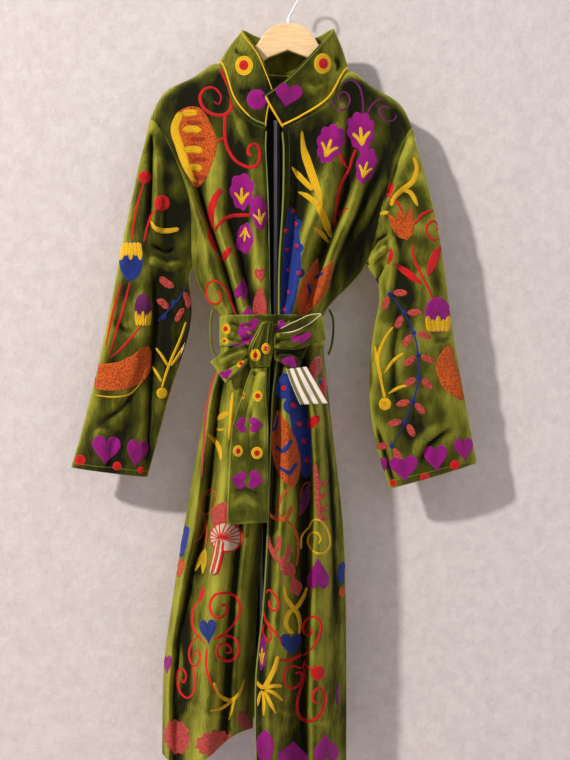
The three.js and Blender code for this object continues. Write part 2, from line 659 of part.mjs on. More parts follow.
// The lining shows through the open front: the back's own points, moved in.
const backPiece = sewn[2];
const LINING_MARGIN = 2;
const inward = -(WALL / 2 + SEAM_GAP + LINING_WALL / 2);
const liningPart = (lines) => lines.slice(LINING_MARGIN, -1).map((line) => line.slice(LINING_MARGIN, -LINING_MARGIN));
const liningNormals = liningPart(backPiece.normals);
const liningGrid = liningPart(back).map((line, r) => line.map((p, c) => (
  p.clone().addScaledVector(liningNormals[r][c], inward))));
add('lining_back', wallAbout({ grid: liningGrid, normals: liningNormals, wall: LINING_WALL }), 'stripe');

const belt = beltRing();
const beltFront = Math.min(...belt[0].map((p) => p.y));
add('belt_wrap', wallAbout({ grid: belt, normals: gridNormals(belt, 1, true)
  .map((line) => line.map((n) => n.normalize())), ring: true, wall: BELT_WALL }), 'velvet');
add('belt_knot', knotGeometry(beltFront), 'velvet');

const RIBBONS = { belt_tail_long: TAIL_LONG, belt_tail_root: TAIL_ROOT, belt_tail_short: TAIL_SHORT,
  belt_bow_right: BOW_RIGHT, belt_bow_left: BOW_LEFT };
for (const [name, table] of Object.entries(RIBBONS)) {
  const grid = ribbonGrid(table);
  const normals = gridNormals(grid, 1, false).map((line) => line.map((n) => n.normalize()));
  add(name, wallAbout({ grid, normals, wall: BELT_WALL }), 'velvet');
}

add('belt_carrier_right', wire(CARRIER_RIGHT, CARRIER_RADIUS, 12, 8), 'velvet');
add('belt_carrier_left', wire(CARRIER_LEFT, CARRIER_RADIUS, 12, 8), 'velvet');
add('hanger_body', hangerGeometry(), 'wood');
add('hanger_hook', wire(hookPoints(), HOOK_WIRE, 40, 10), 'steel');

export default coat;
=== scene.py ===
"""A long olive velvet coat with bright chain-stitch embroidery, on a wooden hanger.

The coat's panels are walked out from tables of sections, in millimetres, as fine grids of points
on the middle of the cloth. Creases are pressed into the grids, and embroidery is laid on them.
A place that was read off the picture is given in its pixels: spot(px, py) for a motif, and (px, py)
pairs for a crease. A place on the coat's far side is in mm. +X is the wearer's left.
"""

import math

import bmesh
import bpy
import numpy as np
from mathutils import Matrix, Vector, noise
from mathutils.bvhtree import BVHTree


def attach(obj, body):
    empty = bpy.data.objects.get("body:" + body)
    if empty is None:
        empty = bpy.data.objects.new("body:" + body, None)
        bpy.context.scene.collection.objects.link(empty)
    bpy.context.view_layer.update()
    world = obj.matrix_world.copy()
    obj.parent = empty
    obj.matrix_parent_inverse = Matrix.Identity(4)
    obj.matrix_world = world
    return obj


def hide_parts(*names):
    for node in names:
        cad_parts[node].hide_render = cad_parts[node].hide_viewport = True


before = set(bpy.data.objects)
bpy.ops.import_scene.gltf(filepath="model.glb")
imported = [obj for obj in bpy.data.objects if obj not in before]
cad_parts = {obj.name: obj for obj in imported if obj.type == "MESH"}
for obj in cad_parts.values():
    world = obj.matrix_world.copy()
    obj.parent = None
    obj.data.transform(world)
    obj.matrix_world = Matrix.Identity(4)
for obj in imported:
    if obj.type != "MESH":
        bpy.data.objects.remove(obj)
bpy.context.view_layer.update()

# ---------------------------------------------------------------- sizes

MM = 0.001
WALL = 2.4
COLLAR_WALL = 3.0
BELT_WALL = 2.4
LINING_WALL = 1.0
WALLS = {"collar": COLLAR_WALL}      # the panels' walls, where not the usual one
SEAM_GAP = 0.3           # mm between pieces that are sewn together
LAY_GAP = 0.35           # mm between a piece and what it lies on
BELT_TOP = -558
BELT_FOOT = -608
UNDERARM_STAND_OFF = 3.4     # mm that the sleeve's inner corner stands off the side of the coat
CREASE_BORDER = 7        # rows in from a border over which creases grow to their full depth
RIPPLE_BORDER = 6        # rows in from a border over which small waves grow to their full height
SEED_STEP = (7.3, 3.1, 5.7)      # how far apart in the noise the waves of two pieces are taken
FULL_PUSH = 0.6          # cloth that faces along y by this much or more is pushed in full
TINY = 1e-9              # keeps a division from meeting zero

# The camera stands level in front of the hanger, and the picture is 570 by 760 pixels.
VIEW_DISTANCE = 2000.0
PICTURE = {"width": 570, "height": 760}
MM_PER_PIXEL = 1.67          # on the hanger's plane, y = 0
VIEW_CENTRE = {"x": -5.0, "z": -663.0}
EYE = np.array([VIEW_CENTRE["x"], -VIEW_DISTANCE, VIEW_CENTRE["z"]])

COLUMNS = ["edge", "fold1", "fold2", "neck", "fold3", "fold4", "side"]
NECK_COLUMN = 3
STEPS_ACROSS = 12
STEPS_DOWN = [3, 12, 20, 24, 15, 6, 12, 20, 46, 28, 28, 32]
UNDERARM_SECTION = 4
STEPS_BACK_NECK = 36
UNDERARM_ROW = sum(STEPS_DOWN[:UNDERARM_SECTION])

# A cell is [x, y] at the row's height, or [x, y, z] where the row isn't level.
FRONT_RIGHT = [
    dict(edge=[-36, -32, -249], fold1=[-62, -36, -240], fold2=[-90, -32, -208], neck=[-115, 0, -137],
         fold3=[-158, 0, -159], fold4=[-205, 0, -184], side=[-229, 0, -227]),
    dict(edge=[-36, -33, -256], fold1=[-61, -37, -250], fold2=[-90, -34, -220], neck=[-116, -15, -153],
         fold3=[-158, -12, -173], fold4=[-201, -12, -199], side=[-219, -9, -236]),
    dict(z=-284, edge=[-37, -30], fold1=[-48, -35], fold2=[-86, -27], neck=[-119, -31],
         fold3=[-151, -20], fold4=[-173, -25], side=[-192, -14]),
    dict(z=-368, edge=[-33, -42], fold1=[-46, -49], fold2=[-84, -30], neck=[-117, -46],
         fold3=[-141, -18], fold4=[-152, -34], side=[-162, -20]),
    dict(z=-470, edge=[-31, -58], fold1=[-42, -65], fold2=[-72, -40], neck=[-92, -61],
         fold3=[-107, -32], fold4=[-127, -52], side=[-158, -12]),
    dict(z=-534, edge=[-30, -70], fold1=[-39, -75], fold2=[-54, -54], neck=[-73, -70],
         fold3=[-88, -47], fold4=[-107, -59], side=[-131, -15]),
    dict(z=-557, edge=[-29, -76], fold1=[-36, -79], fold2=[-49, -64], neck=[-67, -75],
         fold3=[-81, -56], fold4=[-97, -61], side=[-111, -18]),
    dict(z=-609, edge=[-29, -76], fold1=[-36, -79], fold2=[-49, -64], neck=[-67, -75],
         fold3=[-82, -56], fold4=[-97, -61], side=[-111, -18]),
    dict(z=-695, edge=[-32, -72], fold1=[-47, -89], fold2=[-61, -74], neck=[-80, -91],
         fold3=[-109, -48], fold4=[-122, -60], side=[-134, -12]),
    dict(z=-897, edge=[-42, -54], fold1=[-61, -100], fold2=[-78, -89], neck=[-101, -109],
         fold3=[-136, -42], fold4=[-151, -58], side=[-170, -10]),
    dict(z=-1018, edge=[-51, -44], fold1=[-74, -100], fold2=[-93, -92], neck=[-116, -115],
         fold3=[-163, -44], fold4=[-176, -58], side=[-189, -10]),
    dict(z=-1140, edge=[-56, -38], fold1=[-80, -99], fold2=[-100, -95], neck=[-127, -120],
         fold3=[-177, -48], fold4=[-191, -60], side=[-205, -10]),
    dict(edge=[-59, -34, -1234], fold1=[-84, -98, -1226], fold2=[-105, -96, -1242],
         neck=[-133, -124, -1258], fold3=[-179, -58, -1280], fold4=[-192, -66, -1277],
         side=[-208, -10, -1283]),
]

FRONT_LEFT = [
    dict(edge=[-9, -38, -251], fold1=[20, -40, -238], fold2=[66, -34, -208], neck=[100, 0, -149],
         fold3=[140, 0, -174], fold4=[186, 0, -203], side=[207, 0, -242]),
    dict(edge=[-9, -39, -260], fold1=[20, -40, -248], fold2=[67, -35, -220], neck=[101, -15, -165],
         fold3=[140, -12, -188], fold4=[183, -12, -217], side=[200, -9, -250]),
    dict(z=-284, edge=[-7, -38], fold1=[20, -28], fold2=[79, -36], neck=[108, -19],
         fold3=[130, -27], fold4=[161, -15], side=[183, -13]),
    dict(z=-368, edge=[-8, -46], fold1=[16, -30], fold2=[55, -52], neck=[88, -22],
         fold3=[108, -43], fold4=[132, -20], side=[158, -20]),
    dict(z=-470, edge=[-14, -60], fold1=[3, -42], fold2=[21, -67], neck=[48, -36],
         fold3=[65, -57], fold4=[94, -30], side=[129, -12]),
    dict(z=-534, edge=[-15, -72], fold1=[-3, -58], fold2=[9, -77], neck=[29, -50],
         fold3=[42, -64], fold4=[56, -42], side=[72, -15]),
    dict(z=-557, edge=[-15, -79], fold1=[-7, -69], fold2=[4, -80], neck=[19, -60],
         fold3=[32, -66], fold4=[45, -46], side=[58, -18]),
    dict(z=-609, edge=[-15, -79], fold1=[-7, -69], fold2=[4, -80], neck=[19, -60],
         fold3=[32, -66], fold4=[45, -46], side=[58, -18]),
    dict(z=-695, edge=[-25, -86], fold1=[-14, -79], fold2=[1, -93], neck=[24, -56],
         fold3=[42, -72], fold4=[56, -42], side=[67, -12]),
    dict(z=-897, edge=[-32, -100], fold1=[-22, -96], fold2=[-4, -111], neck=[23, -54],
         fold3=[49, -83], fold4=[73, -40], side=[90, -10]),
    dict(z=-1018, edge=[-39, -106], fold1=[-30, -104], fold2=[-12, -118], neck=[24, -54],
         fold3=[47, -84], fold4=[74, -40], side=[95, -10]),
    dict(z=-1140, edge=[-51, -112], fold1=[-41, -112], fold2=[-23, -124], neck=[22, -56],
         fold3=[44, -84], fold4=[75, -42], side=[96, -10]),
    dict(edge=[-50, -116, -1282], fold1=[-40, -116, -1280], fold2=[-24, -128, -1276],
         neck=[22, -60, -1296], fold3=[44, -86, -1290], fold4=[75, -44, -1304],
         side=[96, -10, -1310]),
]

# How far the back stands behind its sides, the height of its folds, where its armholes run, and how
# far its hem rises at the middle.
BACK = [
    dict(middle=24, fold=0, armhole=0),
    dict(middle=27, fold=1, armhole=10),
    dict(middle=34, fold=2, armhole=16),
    dict(middle=37, fold=3, armhole=22),
    dict(middle=35, fold=4, armhole=0),
    dict(middle=27, fold=5),
    dict(middle=22, fold=4),
    dict(middle=22, fold=4),
    dict(middle=30, fold=6),
    dict(middle=38, fold=8),
    dict(middle=41, fold=9),
    dict(middle=43, fold=9),
    dict(middle=45, fold=9, rise=55),
]
BACK_FOLDS = 4
BACK_NECK = {"dip": 4, "behind": 30, "roundness": 0.6}
BACK_SQUARENESS = 0.3
BACK_TOP_FADE = 1.6      # how soon the shoulders' slope leaves the back's sections below them

SLEEVE_RIGHT = [
    dict(upper=[-243, -290], under=[-164, -486], front=27, behind=20, crease=4),
    dict(upper=[-258, -358], under=[-165, -500], front=30, behind=20, crease=8),
    dict(upper=[-273, -430], under=[-164, -522], front=32, behind=20, crease=14),
    dict(upper=[-287, -505], under=[-162, -552], front=34, behind=20, crease=20),
    dict(upper=[-302, -580], under=[-169, -594], front=34, behind=18, crease=22),
    dict(upper=[-317, -650], under=[-186, -648], front=32, behind=18, crease=20),
    dict(upper=[-332, -708], under=[-203, -702], front=28, behind=16, crease=14),
    dict(upper=[-345, -758], under=[-218, -760], front=25, behind=14, crease=6),
    dict(upper=[-360, -808], under=[-235, -824], front=22, behind=12, crease=0),
]
SLEEVE_LEFT = [
    dict(upper=[221, -300], under=[137, -480], front=27, behind=20, crease=2),
    dict(upper=[238, -363], under=[145, -490], front=30, behind=20, crease=5),
    dict(upper=[252, -430], under=[152, -506], front=32, behind=20, crease=8),
    dict(upper=[263, -505], under=[153, -536], front=33, behind=20, crease=9),
    dict(upper=[273, -580], under=[144, -580], front=33, behind=18, crease=8),
    dict(upper=[285, -650], under=[138, -640], front=31, behind=18, crease=6),
    dict(upper=[295, -705], under=[138, -705], front=28, behind=16, crease=4),
    dict(upper=[305, -758], under=[147, -766], front=25, behind=14, crease=2),
    dict(upper=[313, -801], under=[170, -843], front=22, behind=12, crease=0),
]
SLEEVE_STEPS = 14
SLEEVE_FORWARD = 4       # mm that a sleeve's sections hang in front of the shoulder
SLEEVE_ROUNDNESS = 0.8
SLEEVE_CREASE = {"at": 0.52, "width": 0.03, "roundness": 0.5}      # shares of the sleeve's width

COLLAR_TOP = [
    dict(share=0.0, at=[-24, -47, -190]),
    dict(share=0.12, at=[-34, -46, -160]),
    dict(share=0.23, at=[-48, -36, -124]),
    dict(share=0.34, at=[-75, -5, -81]),
    dict(share=0.42, at=[-46, 20, -86]),
    dict(share=0.5, at=[0, 26, -88]),
    dict(share=0.58, at=[46, 20, -86]),
    dict(share=0.66, at=[75, -7, -79]),
    dict(share=0.77, at=[42, -40, -124]),
    dict(share=0.88, at=[0, -56, -172]),
    dict(share=1.0, at=[-40, -60, -202]),
]
COLLAR_BULGE = 3
COLLAR_STEPS = 22
CURVE_STEPS = 12         # pieces of a curve between two points of a table


# ---------------------------------------------------------------- curves and grids

STEEPEST = 1.1           # a curve's tangent, as a share of the way to the next point

def through(points, steps):
    """A smooth curve through the points, cut into steps[i] pieces after point i."""
    points = np.asarray(points, float)
    last = len(points) - 1
    steps = [steps] * last if np.isscalar(steps) else steps
    out = [points[:1]]
    for i in range(last):
        a, b = points[i], points[i + 1]
        limit = STEEPEST * np.linalg.norm(b - a, axis=-1, keepdims=True)

        def tangent(start, end):
            t = (end - start) * 0.5
            size = np.linalg.norm(t, axis=-1, keepdims=True)
            return t * np.minimum(1.0, limit / np.maximum(size, TINY))

        ta = tangent(points[max(i - 1, 0)], b)
        tb = tangent(a, points[min(i + 2, last)])
        t = (np.arange(1, steps[i] + 1) / steps[i]).reshape((-1,) + (1,) * a.ndim)
        out.append((2 * t**3 - 3 * t**2 + 1) * a + (t**3 - 2 * t**2 + t) * ta
                   + (-2 * t**3 + 3 * t**2) * b + (t**3 - t**2) * tb)
    return np.concatenate(out)


def front_grid(table):
    """A front panel from its table of sections."""
    rows = []
    for row in table:
        rows.append([row[name] if len(row[name]) == 3 else row[name] + [row["z"]] for name in COLUMNS])
    down = through(np.array(rows, float), STEPS_DOWN)
    return np.swapaxes(through(np.swapaxes(down, 0, 1), STEPS_ACROSS), 0, 1)


def column_of(table, name, last):
    """One column of a table as a smooth value for each row of the grid, down to a section."""
    values = np.array([[row.get(name, 0), 0, 0] for row in table[:last + 1]], float)
    return through(values, STEPS_DOWN[:last])[:, 0]


def back_top(front_right, front_left):
    """The shoulder seams are the fronts' own, with the back's neck between them."""
    neck = NECK_COLUMN * STEPS_ACROSS
    share = np.linspace(0, 1, STEPS_BACK_NECK + 1)[:, None]
    bow = np.sin(np.pi * share[:, 0])
    middle = front_right[0, neck] * (1 - share) + front_left[0, neck] * share
    middle[:, 1] += BACK_NECK["behind"] * np.abs(bow) ** BACK_NECK["roundness"]
    middle[:, 2] -= BACK_NECK["dip"] * bow
    return np.concatenate([front_right[0, neck:][::-1], middle[1:-1], front_left[0, neck:]])


def back_grid(front_right, front_left):
    """The back hangs from the shoulder seams between the fronts' sides, with folds of its own."""
    top = back_top(front_right, front_left)
    middle = column_of(BACK, "middle", len(BACK) - 1)
    fold = column_of(BACK, "fold", len(BACK) - 1)
    armhole = column_of(BACK, "armhole", UNDERARM_SECTION)
    rise = column_of(BACK, "rise", len(BACK) - 1)
    count = len(top)
    share = np.linspace(0, 1, count)
    arch = np.sin(np.pi * share)
    arch[[0, -1]] = 0
    flat_top = front_right[0, -1] * (1 - share[:, None]) + front_left[0, -1] * share[:, None]
    grid = np.zeros((len(middle), count, 3))
    for r in range(len(middle)):
        right, left = front_right[r, -1].copy(), front_left[r, -1].copy()
        if 0 < r < UNDERARM_ROW:
            right[1] = left[1] = armhole[r]
        line = right * (1 - share[:, None]) + left * share[:, None]
        if r < UNDERARM_ROW:
            near_top = 1 - r / UNDERARM_ROW
            line[:, 2] += (top[:, 2] - flat_top[:, 2]) * near_top**BACK_TOP_FADE
            line[:, 0] += (top[:, 0] - flat_top[:, 0]) * near_top
        wave = np.cos(2 * np.pi * BACK_FOLDS * share) * arch
        line[:, 1] += (middle[r] - line[:, 1]) * arch**BACK_SQUARENESS + fold[r] * wave
        line[:, 2] += rise[r] * arch
        grid[r] = line if r else top
    return grid


def sleeve_grid(table, front, back, back_column):
    """Rings down a sleeve: each runs down its front from the upper edge and back up behind."""
    half = UNDERARM_ROW
    ring = np.concatenate([front[:half, -1], back[half:0:-1, back_column]])
    ring[half, 0] += np.sign(ring[half, 0] - front[half, 0, 0]) * UNDERARM_STAND_OFF
    turn = np.pi * np.concatenate([np.arange(half + 1), np.arange(half - 1, 0, -1)]) / half
    front_side = np.arange(2 * half) <= half
    share = (1 - np.cos(turn)) / 2
    swell = np.abs(np.sin(turn))
    rings = [ring]
    for row in table:
        y = np.where(front_side, -row["front"], row["behind"]) * swell**SLEEVE_ROUNDNESS
        step = 1 / (1 + np.exp(-(share - SLEEVE_CREASE["at"]) / SLEEVE_CREASE["width"]))
        y = y + np.where(front_side, row["crease"] * step * swell**SLEEVE_CREASE["roundness"], 0)
        upper, under = np.array(row["upper"], float), np.array(row["under"], float)
        xz = upper + (under - upper) * share[:, None]
        rings.append(np.stack([xz[:, 0], y - SLEEVE_FORWARD, xz[:, 1]], axis=1))
    return through(np.array(rings), SLEEVE_STEPS)


def collar_grid(front_right, front_left, back):
    """The collar rises from the neck's seam to its own top edge, and bulges out a little."""
    neck = NECK_COLUMN * STEPS_ACROSS
    shoulder = front_right.shape[1] - 1 - neck
    foot = np.concatenate([front_right[0, :neck + 1], back[0, shoulder + 1:shoulder + STEPS_BACK_NECK],
                           front_left[0, neck::-1]])
    share = np.linspace(0, 1, len(foot))
    knots = np.array([row["share"] for row in COLLAR_TOP])
    fine = through(np.array([row["at"] for row in COLLAR_TOP], float), CURVE_STEPS)
    at = np.interp(share, knots, np.arange(len(knots))) * CURVE_STEPS
    top = np.stack([np.interp(at, np.arange(len(fine)), fine[:, k]) for k in range(3)], axis=1)
    middle = foot.mean(axis=0)
    rows = []
    for s in np.linspace(0, 1, COLLAR_STEPS + 1):
        line = top * (1 - s) + foot * s
        out = line - middle
        out[:, 2] = 0
        out /= np.linalg.norm(out, axis=1, keepdims=True)
        rows.append(line + out * COLLAR_BULGE * math.sin(math.pi * s))
    return np.array(rows)


def unit(vectors):
    """Vectors with the same ways and a length of 1."""
    return vectors / np.maximum(np.linalg.norm(vectors, axis=-1, keepdims=True), TINY)


def lengths_along(path):
    """How far along a path each of its points is."""
    return np.concatenate([[0], np.cumsum(np.linalg.norm(np.diff(path, axis=0), axis=1))])


def even(path, step):
    """The same path with points the same distance apart."""
    path = np.asarray(path, float)
    lengths = lengths_along(path)
    count = max(3, int(round(lengths[-1] / step)))
    at = np.linspace(0, lengths[-1], count + 1)
    return np.stack([np.interp(at, lengths, path[:, k]) for k in range(path.shape[1])], axis=1)


def grid_normals(grid, facing, ring):
    """The way that each point of a grid faces; facing is 1 or -1 and says which side is outside."""
    if ring:
        wide = np.concatenate([grid[:, -1:], grid, grid[:, :1]], axis=1)
        across = wide[:, 2:] - wide[:, :-2]
    else:
        across = np.gradient(grid, axis=1)
    down = np.gradient(grid, axis=0)
    normal = np.cross(across, down) * facing
    return unit(normal)


def panel_of(grid, facing, ring=False, from_behind=False, ease=()):
    """A piece of cloth: its grid, which side is outside, whether its creases are given from behind, and
    the borders that are sewn."""
    return dict(grid=grid, normals=grid_normals(grid, facing, ring), facing=facing, ring=ring,
                from_behind=from_behind, ease=ease)


def face_again(panel):
    """Works out a panel's normals from its grid."""
    panel["normals"] = grid_normals(panel["grid"], panel["facing"], panel["ring"])


def outside_of(panel, wall):
    """A panel's grid, moved out to the cloth's face."""
    return panel["grid"] + panel["normals"] * (wall / 2)


def join_normals(panels):
    """Panels that are sewn together use one normal at each point of their seam."""
    sums = {}
    borders = []
    for panel in panels:
        rows, columns = panel["grid"].shape[:2]
        border = {(r, c) for r in (0, rows - 1) for c in range(columns)}
        border |= {(r, c) for r in range(rows) for c in (0, columns - 1)}
        for r, c in border:
            key = tuple(np.round(panel["grid"][r, c], 2))
            sums[key] = sums.get(key, 0) + panel["normals"][r, c]
            borders.append((panel, r, c, key))
    for panel, r, c, key in borders:
        panel["normals"][r, c] = sums[key] / max(np.linalg.norm(sums[key]), TINY)


# ---------------------------------------------------------------- the picture's plane

def seen_at(points):
    """The picture's pixel at which each point is seen."""
    reach = VIEW_DISTANCE / (points[..., 1] + VIEW_DISTANCE)
    px = PICTURE["width"] / 2 + (points[..., 0] - VIEW_CENTRE["x"]) * reach / MM_PER_PIXEL
    py = PICTURE["height"] / 2 - (points[..., 2] - VIEW_CENTRE["z"]) * reach / MM_PER_PIXEL
    return np.stack([px, py], axis=-1)


def on_plane(px, py):
    """The point of the hanger's plane that is seen at a pixel."""
    x = VIEW_CENTRE["x"] + (np.asarray(px, float) - PICTURE["width"] / 2) * MM_PER_PIXEL
    z = VIEW_CENTRE["z"] - (np.asarray(py, float) - PICTURE["height"] / 2) * MM_PER_PIXEL
    return np.stack([x, np.zeros_like(x), z], axis=-1)


def press(panel, creases):
    """Presses creases into a panel: each is a route, a width, a depth, and how much of it fades in and out.
    A depth under 0 raises a ridge. The cloth moves along y alone, so that it never folds over itself."""
    grid = panel["grid"]
    from_behind = panel["from_behind"]
    seen = grid[..., [0, 2]] if from_behind else seen_at(grid)
    scale = 1.0 if from_behind else MM_PER_PIXEL
    inward = -1 if from_behind else 1
    push = np.zeros(grid.shape[:2])
    for route, width, depth, (head, tail) in creases:
        route = np.array(route, float)
        lengths = lengths_along(route)
        best = np.full(push.shape, np.inf)
        along = np.zeros(push.shape)
        for a, b, start in zip(route, route[1:], lengths):
            d = b - a
            t = np.clip(((seen - a) @ d) / (d @ d), 0, 1)
            away = np.linalg.norm(seen - a - t[..., None] * d, axis=-1)
            nearer = away < best
            best = np.where(nearer, away, best)
            along = np.where(nearer, start + t * math.sqrt(d @ d), along)
        share = along / lengths[-1]
        fade = np.clip(share / head, 0, 1) * np.clip((1 - share) / tail, 0, 1)
        fade = fade * fade * (3 - 2 * fade)
        push += depth * np.exp(-((best * scale / width) ** 2)) * fade
    push *= np.clip(panel["normals"][..., 1] * -inward / FULL_PUSH, 0, 1)
    panel["grid"] = grid + push[..., None] * (0, inward, 0)
    face_again(panel)


def hold_borders(panel, creases):
    """Presses creases in, and puts the panel's borders back so that the seams still meet."""
    grid = panel["grid"].copy()
    press(panel, creases)
    rows, columns = grid.shape[:2]
    r = np.arange(rows)[:, None]
    c = np.arange(columns)[None, :]
    room = np.broadcast_to(r, (rows, columns))
    if not panel["ring"]:
        last = columns - 1 - c
        first = c if panel["from_behind"] else last
        room = np.minimum(room, np.minimum(first, last))
    keep = np.clip(room / CREASE_BORDER, 0, 1)[..., None]
    panel["grid"] = grid + (panel["grid"] - grid) * keep
    face_again(panel)


def ripple(panel, height, length, seed):
    """Small uneven waves, none at the panel's borders. Their length is given along x, y and z."""
    grid = panel["grid"]
    rows, columns = grid.shape[:2]
    offset = Vector([seed * step for step in SEED_STEP])
    waves = np.array([noise.noise(Vector(p / length) + offset) for p in grid.reshape(-1, 3)])
    r = np.arange(rows)[:, None]
    c = np.arange(columns)[None, :]
    room = np.broadcast_to(np.minimum(r, rows - 1 - r), (rows, columns))
    if not panel["ring"]:
        room = np.minimum(room, np.minimum(c, columns - 1 - c))
    outward = np.clip(panel["normals"][..., 1] / FULL_PUSH, -1, 1)
    push = waves.reshape(rows, columns) * height * np.clip(room / RIPPLE_BORDER, 0, 1) * outward
    panel["grid"] = grid + push[..., None] * (0, 1, 0)
    face_again(panel)


# ---------------------------------------------------------------- materials

def srgb(r, g, b):
    """A colour given as it looks on a screen, 0 to 255."""
    return tuple((v / 255 / 12.92) if v <= 10.31 else ((v / 255 + 0.055) / 1.055) ** 2.4 for v in (r, g, b))


class Nodes:
    """Shorthand for building one material's nodes."""

    def __init__(self, name):
        self.material = bpy.data.materials.new(name)
        self.material.use_nodes = True
        self.tree = self.material.node_tree
        self.shader = self.tree.nodes["Principled BSDF"]

    def add(self, kind, inputs=(), **settings):
        """A node with its settings, and its inputs linked to sockets or set to values."""
        node = self.tree.nodes.new(kind)
        for key, value in settings.items():
            setattr(node, key, value)
        for key, value in dict(inputs).items():
            if isinstance(value, bpy.types.NodeSocket):
                self.tree.links.new(value, node.inputs[key])
            else:
                node.inputs[key].default_value = value
        return node

    def math(self, operation, a, b=0.0):
        return self.add("ShaderNodeMath", {0: a, 1: b}, operation=operation).outputs[0]

    def noise(self, vector, scale, detail=3.0, roughness=0.5):
        return self.add("ShaderNodeTexNoise", {"Vector": vector, "Scale": scale, "Detail": detail,
                                               "Roughness": roughness}).outputs["Fac"]

    def ramp(self, value, stops):
        """A colour for each value, between stops of a position and a colour."""
        node = self.add("ShaderNodeValToRGB", {"Fac": value})
        elements = node.color_ramp.elements
        while len(elements) < len(stops):
            elements.new(0.5)
        for element, (position, colour) in zip(elements, stops):
            element.position = position
            element.color = (*colour, 1)
        return node.outputs["Color"]

    def bump(self, height, distance, strength, normal=None):
        inputs = {"Height": height, "Distance": distance, "Strength": strength}
        if normal is not None:
            inputs["Normal"] = normal
        return self.add("ShaderNodeBump", inputs).outputs["Normal"]

    def object_space(self, scale=(1, 1, 1)):
        coords = self.add("ShaderNodeTexCoord").outputs["Object"]
        return self.add("ShaderNodeMapping", {"Vector": coords, "Scale": scale}).outputs["Vector"]

    def uv(self):
        return self.add("ShaderNodeTexCoord").outputs["UV"]

    def set(self, **values):
        """Links or sets the shader's own sockets, which are named with _ for a space."""
        for key, value in values.items():
            socket = self.shader.inputs[key.replace("_", " ")]
            if isinstance(value, bpy.types.NodeSocket):
                self.tree.links.new(value, socket)
            else:
                socket.default_value = value


def velvet(name, dark, middle, light, sheen):
    """Cut pile. Its colour is painted lighter where the cloth is seen at a slant (painted sheen), lighter on
    ridges and darker in valleys (painted highlight and shade), and lighter or darker by piece (painted sheen
    and shade), over tone that differs at random.
    """
    n = Nodes(name)
    streaks = n.noise(n.object_space((1.0, 1.0, 0.4)), scale=36.0, detail=5.0, roughness=0.6)
    patches = n.noise(n.object_space(), scale=12.0, detail=3.0, roughness=0.5)
    brushed = n.noise(n.object_space((1.0, 1.0, 0.5)), scale=170.0, detail=4.0, roughness=0.65)
    soft = n.bump(n.math("ADD", n.math("MULTIPLY", streaks, 1.6), brushed), distance=0.0022, strength=0.75)
    # Painted sheen: the colour is lighter where the cloth is seen at a slant.
    grazing = n.add("ShaderNodeLayerWeight", {"Blend": 0.5, "Normal": soft}).outputs["Facing"]
    # Tone that differs at random, from the streaks and the patches.
    pile_tone_and_sheen = n.math("ADD", n.math("MULTIPLY", streaks, 0.85), n.math("MULTIPLY", patches, 0.85))
    # Painted highlight and shade: the mesh's attribute is lighter on ridges and darker in valleys, and
    # shifted by piece.
    painted_light = n.add("ShaderNodeAttribute", attribute_name="painted_light")
    painted_light_term = n.math("MULTIPLY", painted_light.outputs["Fac"], 0.34)
    painted_light_and_tone = n.math("ADD", n.math("MULTIPLY", grazing, 0.75), n.math("SUBTRACT", pile_tone_and_sheen, 0.76))
    painted_light_and_tone = n.math("ADD", painted_light_and_tone, painted_light_term)
    pile = n.noise(n.object_space(), scale=1400.0, detail=2.0, roughness=0.7)
    n.set(Base_Color=n.ramp(painted_light_and_tone, [(0.04, dark), (0.36, middle), (0.95, light)]), Roughness=0.85,
          Normal=n.bump(pile, distance=0.0006, strength=0.45, normal=soft), Sheen_Weight=0.5,
          Sheen_Roughness=0.3, Sheen_Tint=(*sheen, 1), Specular_IOR_Level=0.12)
    return n.material


def thread(name, colour, shade, terry=False):
    """Rows of chain stitch: a row is a whole step of v, and a stitch a whole step of u.
    Terry is looped, so that its rows hardly show."""
    n = Nodes(name)
    split = n.add("ShaderNodeSeparateXYZ", {"Vector": n.uv()})
    along, across = split.outputs["X"], split.outputs["Y"]
    row = n.math("FRACT", across)
    off = n.math("ABSOLUTE", n.math("SUBTRACT", row, 0.5))
    stitch = n.math("FRACT", n.math("ADD", along, n.math("MULTIPLY", off, 1.1)))
    loop = n.math("SINE", n.math("MULTIPLY", stitch, math.pi))
    ridge = n.math("SUBTRACT", 1.0, n.math("POWER", n.math("MULTIPLY", off, 2.0), 3.0))
    height = n.math("MULTIPLY", n.math("ADD", n.math("MULTIPLY", loop, 0.6), 0.4), ridge)
    worn = n.noise(n.object_space(), scale=420.0 if terry else 240.0, detail=3.0, roughness=0.6)
    if terry:
        loops = n.math("MULTIPLY", n.math("SUBTRACT", worn, 0.36), 3.2)
        height = n.math("ADD", n.math("MULTIPLY", height, 0.25), n.math("MULTIPLY", loops, 0.75))
    tone = n.math("ADD", n.math("MULTIPLY", height, 0.7), n.math("MULTIPLY", worn, 0.4))
    n.set(Base_Color=n.ramp(tone, [(0.24, shade), (0.74, colour)]), Roughness=0.65,
          Normal=n.bump(height, distance=0.002 if terry else 0.0015, strength=1.0), Sheen_Weight=0.03,
          Sheen_Roughness=0.4, Specular_IOR_Level=0.25)
    return n.material


